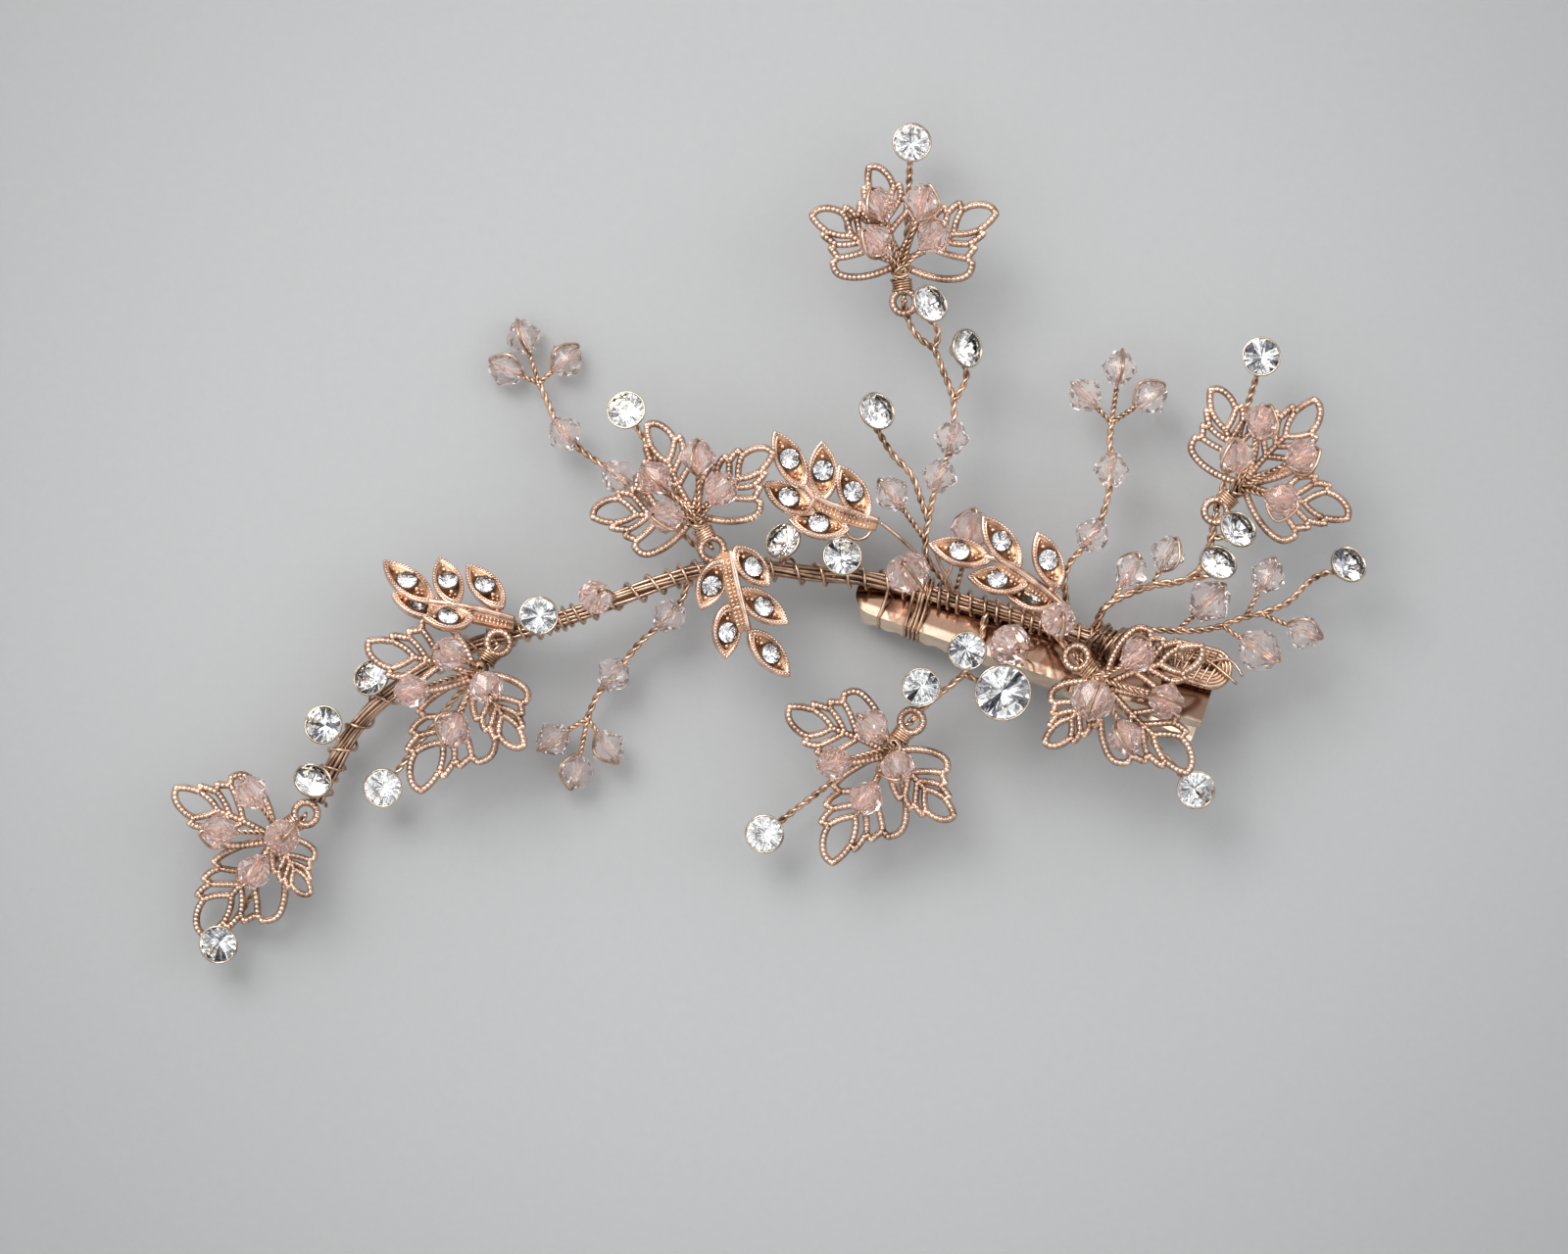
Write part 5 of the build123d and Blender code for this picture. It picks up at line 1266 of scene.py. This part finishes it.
def ribbon(shape, line, side, normal, widths, thickness):
    """A flat strip of varying width with a thickness, along a line."""
    out = side * np.asarray(widths)[:, None] / 2
    down = normal * thickness
    edges = [line - out, line + out, line + out - down, line - out - down]
    count = len(line)
    here = np.arange(count - 1)
    walls = []
    for first, second in ((0, 1), (1, 2), (2, 3), (3, 0)):
        edge = first * count + here
        next_edge = second * count + here
        walls.append(joined(edge, edge + 1, next_edge + 1, next_edge))
    near = np.arange(4) * count
    shape.add(np.vstack(edges), [np.vstack(walls), [near, near[::-1] + count - 1]], 1, False)


def nearest_on(line, place):
    """The point of a line that is nearest to a place."""
    return line[np.argmin(np.linalg.norm(line - place, axis=1))]


def midrib(cast, spray, rib, facing):
    """A spray's raised midrib, its underside and the grained web along one side of it."""
    away = np.subtract(spray["leaflets"][2][0], spray["rib"][1])
    side = unit(np.cross(facing, rib[-1] - rib[0]))
    side = -side if np.dot(side, away) > 0 else side
    share = np.linspace(0, 1, len(rib))
    tube(cast, rib + facing * RIB_RAISE, RIB_THICKNESS * (1 + np.sin(0.35 + 2.5 * share)), 10)
    tube(cast, rib - facing * 0.0001, RIB_UNDERSIDE_RADIUS, 8)
    widths = WEB_WIDTH * (0.35 + 0.65 * np.sin(math.pi * (0.15 + 0.75 * share)))
    ribbon(cast, rib + side * WEB_OFFSET, side, facing, widths, WEB_THICKNESS)
    for row in WEB_GRAIN_ROWS:
        for point in evenly(rib, WEB_GRAIN_PITCH)[2:-2]:
            grain(cast, point + side * row + facing * 0.00007, facing, RIM_GRAIN_RADIUS)


spray_stones = Shape()
for number, spray in SPRAYS.items():
    cast = Shape()
    rib = evenly(smooth_route(spray["rib"]), 0.0002)
    facing = unit(spray["facing"])
    midrib(cast, spray, rib, facing)
    leaflet_facing = np.add(spray["facing"], LEAFLET_TILT.get(number, (0, 0, 0)))
    for crystal, tip in spray["leaflets"]:
        leaflet(cast, spray_stones, crystal, tip, leaflet_facing)
        back = 0.8 * np.subtract(tip, crystal)
        foot = np.array(crystal) - back - facing * 0.0004
        join = nearest_on(rib, foot) - facing * 0.0002
        tube(cast, np.linspace(foot, join, 10), np.linspace(0.00042, 0.00036, 10), 8)
    cast_materials = [cast_gold, floor_gold, dark_painted_shade]
    piece(f"spray_{number}", cast, cast_materials, [f"leaf_spray_{number}"])
spray_glass = [clear_glass, foil_painted_reflections]
piece("spray_stones", spray_stones, spray_glass, ["leaf_spray_crystals"])

# The wires that tie the sprays down: a ring and a stay at spray 3, a crossed loop under spray 4.
SPRAY_TIES = [
    [
        (0.0126, 0.0026, 0.0112), (0.0141, 0.0015, 0.0108),
        (0.0160, -0.0002, 0.0100), (0.0174, -0.0016, 0.0094),
    ],
    [
        (0.0188, -0.0006, 0.0118), (0.0193, -0.0022, 0.0112),
        (0.0203, -0.0037, 0.0102), (0.0209, -0.0052, 0.0092),
    ],
    [
        (0.0206, -0.0010, 0.0118), (0.0208, -0.0027, 0.0110),
        (0.0197, -0.0038, 0.0102), (0.0203, -0.0052, 0.0092),
    ],
]
TIE_RADIUS = THIN_WIRE_RADIUS * 1.15
TIE_RING_CENTRE = (0.0101, 0.0022, 0.0106)
TIE_RING_RADIUS = 0.0015
ties = Shape()
for route in SPRAY_TIES:
    wire(ties, route, TIE_RADIUS)
tube(ties, around(TIE_RING_RADIUS, 0.0, 30) + np.array(TIE_RING_CENTRE), TIE_RADIUS, closed=True)
piece("spray_ties", ties, [wire_gold])

# ---- the clip ---------------------------------------------------------------------------------
PIN_X = 0.027
PIN_Z = -0.0022
LEVER_SPREAD = 22.0
EDGE_SOFTNESS = 0.00020
JAW_EDGE_TAPER = 0.0545
JAW_HALF_WIDTH = 0.00236
# Painted shade on the upper jaw: where it begins, where it is full, and its colour.
JAW_BRIGHT_TO = 0.0009
JAW_SHADED_FROM = 0.0013
JAW_SHADE = (0.36, 0.22, 0.155, 1)


def jaw_metal(name):
    """The upper jaw's gold, bright along its free edge and darker beside the wires lashed to it, as painted
    shade.
    """
    material = metal(name, (0.97, 0.79, 0.61), (0.80, 0.58, 0.42), 0.12, 2600.0, 0.05)
    tree = material.node_tree
    add = node_adder(tree)
    base_colour = tree.nodes["Principled BSDF"].inputs["Base Color"]
    plain = base_colour.links[0].from_socket
    origin = np.array(on_clip(0, 0, 0))
    lengthways = np.array(on_clip(1, 0, 0)) - origin
    sideways = np.array(on_clip(0, 1, 0)) - origin
    across_edge = sideways + JAW_EDGE_TAPER * lengthways
    free_edge = float(np.dot(origin, across_edge)) - JAW_HALF_WIDTH
    bright_to = free_edge + JAW_BRIGHT_TO
    shaded_from = free_edge + JAW_SHADED_FROM
    distance = add("VectorMath", operation="DOT_PRODUCT", Vector=add("TexCoord").outputs["Object"])
    distance.inputs[1].default_value = tuple(across_edge)
    # The band of painted shade, from the plain gold to JAW_SHADE.
    band = span(add, distance.outputs["Value"], 0.0, 1.0, From_Min=bright_to, From_Max=shaded_from)
    mixed = add("Mix", data_type="RGBA", Factor=band)
    colours = [socket for socket in mixed.inputs if socket.type == "RGBA"]
    colours[1].default_value = JAW_SHADE
    tree.links.new(plain, colours[0])
    tree.links.new([socket for socket in mixed.outputs if socket.type == "RGBA"][0], base_colour)
    return material


SOFTENED = {"clip_top_jaw": jaw_metal("jaw_gold"), "clip_bottom_jaw": clip_gold, "clip_hinge_pin": clip_gold}
for node, material in SOFTENED.items():
    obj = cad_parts[node]
    obj.data.materials.clear()
    obj.data.materials.append(material)
    bevel = obj.modifiers.new("softened_edges", "BEVEL")
    bevel.width = EDGE_SOFTNESS
    bevel.segments = 3
    bevel.limit_method = "ANGLE"
    bevel.angle_limit = math.radians(40)

SPRING_RADIUS = 0.00111
SPRING_WIRE_RADIUS = 0.00023
SPRING_HALF_LENGTH = 0.0015
SPRING_TURNS = 5.5
SPRING_POINTS = 90
SPRING_STEP = 0.0004


def pin_point(angle, across):
    """A point on the spring round the hinge pin, its angle measured from straight up."""
    return on_clip(PIN_X + SPRING_RADIUS * math.sin(angle), across, PIN_Z + SPRING_RADIUS * math.cos(angle))


coil = Shape()
leg_across = SPRING_HALF_LENGTH - SPRING_WIRE_RADIUS
coil_line = []
for share in np.arange(SPRING_POINTS) / (SPRING_POINTS - 1):
    coil_line.append(pin_point(share * SPRING_TURNS * FULL_TURN, (0.5 - share) * 2 * leg_across))
tube(coil, np.array(coil_line), SPRING_WIRE_RADIUS, 8)
upper_leg = [
    pin_point(0, leg_across),
    on_clip(PIN_X + 0.0035, leg_across, -0.00095),
    on_clip(PIN_X + 0.0070, leg_across, -0.00086),
]
wire(coil, upper_leg, SPRING_WIRE_RADIUS, SPRING_STEP, 8)
piece("spring_coil", coil, [spring_steel], ["clip_spring"])

lower_leg = Shape()
spread = math.radians(LEVER_SPREAD)
leg_x = PIN_X - SPRING_RADIUS * math.sin(spread)
leg_z = PIN_Z - SPRING_RADIUS * math.cos(spread)
leg = []
for run in (0.0, 0.0035, 0.0068):
    leg.append(on_clip(leg_x + run * math.cos(spread), -leg_across, leg_z - run * math.sin(spread)))
wire(lower_leg, leg, SPRING_WIRE_RADIUS, SPRING_STEP, 8)
piece("spring_lower_leg", lower_leg, [spring_steel], body=LOWER_JAW)

# The lashing: turns of wire round the spine and the upper jaw, through a notch of its teeth.
LASHING_PLACES = (0.0034, 0.0066, 0.0071, 0.0076, 0.0081)
LASHING_GAP = 0.00016
LASHING_LEAN = 0.0003
JAW_FRONT_HALF = 0.0025
JAW_WIDENING = 0.0012 / 0.022
lashing = Shape()
for along in LASHING_PLACES:
    half = JAW_FRONT_HALF + (along - JAW_FRONT_HALF) * JAW_WIDENING + LASHING_GAP
    leaning = along + chance.uniform(-LASHING_LEAN, LASHING_LEAN)
    turn = [
        (along, -half, 0.0001),
        (leaning, -0.4 * half, 0.0008),
        (leaning, 0.0005, 0.00255),
        (leaning, 0.0017, 0.0029),
        (along, half + 0.0002, 0.0023),
        (along, half + 0.0003, 0.0005),
        (along, half, -0.0012),
        (along, half, -0.0030),
        (along, half - 0.0004, -0.00325),
        (along, 0.0, -0.0026),
        (along, -half + 0.0004, -0.00325),
        (along, -half, -0.0030),
        (along, -half, -0.0012),
        (along, -half, 0.0001),
    ]
    wire(lashing, [on_clip(*point) for point in turn], BINDING_RADIUS)
piece("clip_lashing", lashing, [wire_gold], ["clip_lashing_wire"])

# The lever end: the spine's wires double back in a flat loop, under a tangle of binding.
END_LOOP_ALONG = 0.0412
END_LOOP_ACROSS = 0.0024
END_LOOP_RADII = (0.00062, 0.00104, 0.00146, 0.00188, 0.00230)
END_LOOP_HEIGHTS = (-0.00025, 0.00025)
END_LOOP_STRAIGHT_FROM = 0.0362
END_LOOP_WIRE_RADIUS = 0.00023
END_WRAPS = 6
END_WRAP_START = 0.0378
END_WRAP_PITCH = 0.0008
END_TAILS = [
    [(0.0404, 0.0030, 0.0021), (0.0424, 0.0023, 0.0023), (0.0446, 0.0012, 0.0020)],
    [(0.0408, 0.0026, 0.0022), (0.0424, 0.0040, 0.0022), (0.0440, 0.0036, 0.0016), (0.0449, 0.0024, 0.0018)],
]
TANGLE_TURNS = 26
TANGLE_ACROSS = 0.0021


def turn_on_clip(centre, lean, wide, tall):
    """A slanting turn of wire round a point in the clip's frame."""
    along, across, up = centre
    points = []
    for angle in np.arange(13) * FULL_TURN / 12:
        sine = math.sin(angle)
        points.append(on_clip(along + lean * sine, across + wide * sine, up + tall * math.cos(angle)))
    return points


end_loop = Shape()
for radius in END_LOOP_RADII:
    for height in END_LOOP_HEIGHTS:
        up = SPINE_ON_CLIP_HEIGHT + height
        loop = [on_clip(END_LOOP_STRAIGHT_FROM, END_LOOP_ACROSS - radius, up)]
        for angle in np.radians(-90 + 180 * np.arange(15) / 14):
            along = END_LOOP_ALONG + radius * math.cos(angle)
            loop.append(on_clip(along, END_LOOP_ACROSS + radius * math.sin(angle), up))
        loop.append(on_clip(END_LOOP_STRAIGHT_FROM, END_LOOP_ACROSS + radius * 0.9, up))
        wire(end_loop, loop, END_LOOP_WIRE_RADIUS)
for turn in range(END_WRAPS):
    centre = (END_WRAP_START + turn * END_WRAP_PITCH, END_LOOP_ACROSS - 0.0001, SPINE_ON_CLIP_HEIGHT)
    wire(end_loop, turn_on_clip(centre, 0.0006, 0.0024, 0.00075), THIN_WIRE_RADIUS * 0.9)
for tail in END_TAILS:
    wire(end_loop, [on_clip(*point) for point in tail], THIN_WIRE_RADIUS)
piece("lever_end_loop", end_loop, [wire_gold], ["end_coil"])

# The tangle is coloured dark all over, as painted shade.
tangle = Shape()
for turn in range(TANGLE_TURNS):
    along = chance.uniform(0.0275, 0.0372)
    lean = chance.uniform(-0.0012, 0.0012)
    wide = chance.uniform(0.00145, 0.00205)
    tall = chance.uniform(0.00130, 0.00185)
    across = TANGLE_ACROSS + chance.uniform(-0.0003, 0.0003)
    points = turn_on_clip((along, across, SPINE_ON_CLIP_HEIGHT + 0.0001), lean, wide, tall)
    wire(tangle, points, chance.uniform(0.00015, 0.00022))
piece("lever_tangle", tangle, [painted_shade_wire])

# ---- floor, light and camera ------------------------------------------------------------------
FLOOR_HALF = 1.6
FLOOR_STEPS = 24
FLOOR_HEIGHT = -0.00005
WINDOW_PLACE = (-0.38, 0.56, 0.95)
CEILING = (0.05, 0.0, 1.0)
ROOM_PATCH_SCALE = 4.2
ROOM_STRENGTH = 1.55
CAMERA_PLACE = (0.0017, -0.0092, 0.95)
CAMERA_LENS = 190.7

grid = np.linspace(-FLOOR_HALF, FLOOR_HALF, FLOOR_STEPS + 1)
floor_x, floor_y = np.meshgrid(grid, grid)
floor_points = joined(floor_x.ravel(), floor_y.ravel(), np.full(floor_x.size, FLOOR_HEIGHT))
row = FLOOR_STEPS + 1
corner = (np.arange(FLOOR_STEPS)[:, None] * row + np.arange(FLOOR_STEPS)).ravel()
floor_faces = joined(corner, corner + 1, corner + row + 1, corner + row)
floor_mesh = bpy.data.meshes.new("paper_floor")
floor_mesh.from_pydata(floor_points.tolist(), [], floor_faces.tolist())
floor_mesh.materials.append(paper("floor_paper"))
floor = bpy.data.objects.new("paper_floor", floor_mesh)
bpy.context.scene.collection.objects.link(floor)


def softbox(name, place, size, power, colour):
    """A square area light that faces the middle of the floor."""
    light = bpy.data.lights.new(name, "AREA")
    light.shape = "SQUARE"
    light.size = size
    light.energy = power
    light.color = colour
    obj = bpy.data.objects.new(name, light)
    obj.location = place
    obj.rotation_mode = "QUATERNION"
    obj.rotation_quaternion = (-Vector(place)).to_track_quat("-Z", "Y")
    bpy.context.scene.collection.objects.link(obj)


softbox("window", WINDOW_PLACE, 0.60, 7.6, (1.0, 0.99, 0.975))
softbox("fill", (0.75, 0.15, 0.70), 0.5, 1.0, (0.95, 0.97, 1.0))

# The room: brighter towards the window, darker below, straight above and in patches.
world = bpy.data.worlds.new("studio")
bpy.context.scene.world = world
world.use_nodes = True
room_tree = world.node_tree
room_add = node_adder(room_tree)
room_direction = room_add("TexCoord").outputs["Generated"]


def brightness_ramp(value, stops):
    """Brightness that follows a value through (value, brightness) stops, as a socket."""
    return colour_ramp(room_add, value, [(position, (level, level, level)) for position, level in stops])


def facing_share(towards):
    """How much a direction of the room faces another, from 0 to 1, as a socket."""
    dot = room_add("VectorMath", operation="DOT_PRODUCT", Vector=room_direction)
    dot.inputs[1].default_value = tuple(unit(towards))
    share = room_add("Math", operation="MULTIPLY_ADD", Value=dot.outputs["Value"])
    share.inputs[1].default_value = 0.5
    share.inputs[2].default_value = 0.5
    return share.outputs["Value"]


room_patches = noise(room_add, room_direction, ROOM_PATCH_SCALE, Detail=1.0)
brightness = brightness_ramp(
    facing_share(WINDOW_PLACE), [(0.10, 0.13), (0.50, 0.42), (0.78, 0.95), (0.97, 1.05)]
)
for factor in (
    brightness_ramp(facing_share(CEILING), [(0.955, 1.0), (0.99, 0.62)]),
    brightness_ramp(room_patches, [(0.41, 0.20), (0.48, 1.0)]),
):
    product = room_add("VectorMath", operation="MULTIPLY", Vector=brightness)
    room_tree.links.new(factor, product.inputs[1])
    brightness = product.outputs["Vector"]
fill(room_tree, room_tree.nodes["Background"], {"Color": brightness, "Strength": ROOM_STRENGTH})

scene = bpy.context.scene
scene.view_settings.view_transform = "Standard"
camera = bpy.data.objects.new("camera", bpy.data.cameras.new("camera"))
camera.location = CAMERA_PLACE
camera.rotation_euler = (0.0, 0.0, 0.0)
camera.data.sensor_width = 36.0
camera.data.lens = CAMERA_LENS
scene.collection.objects.link(camera)
scene.camera = camera
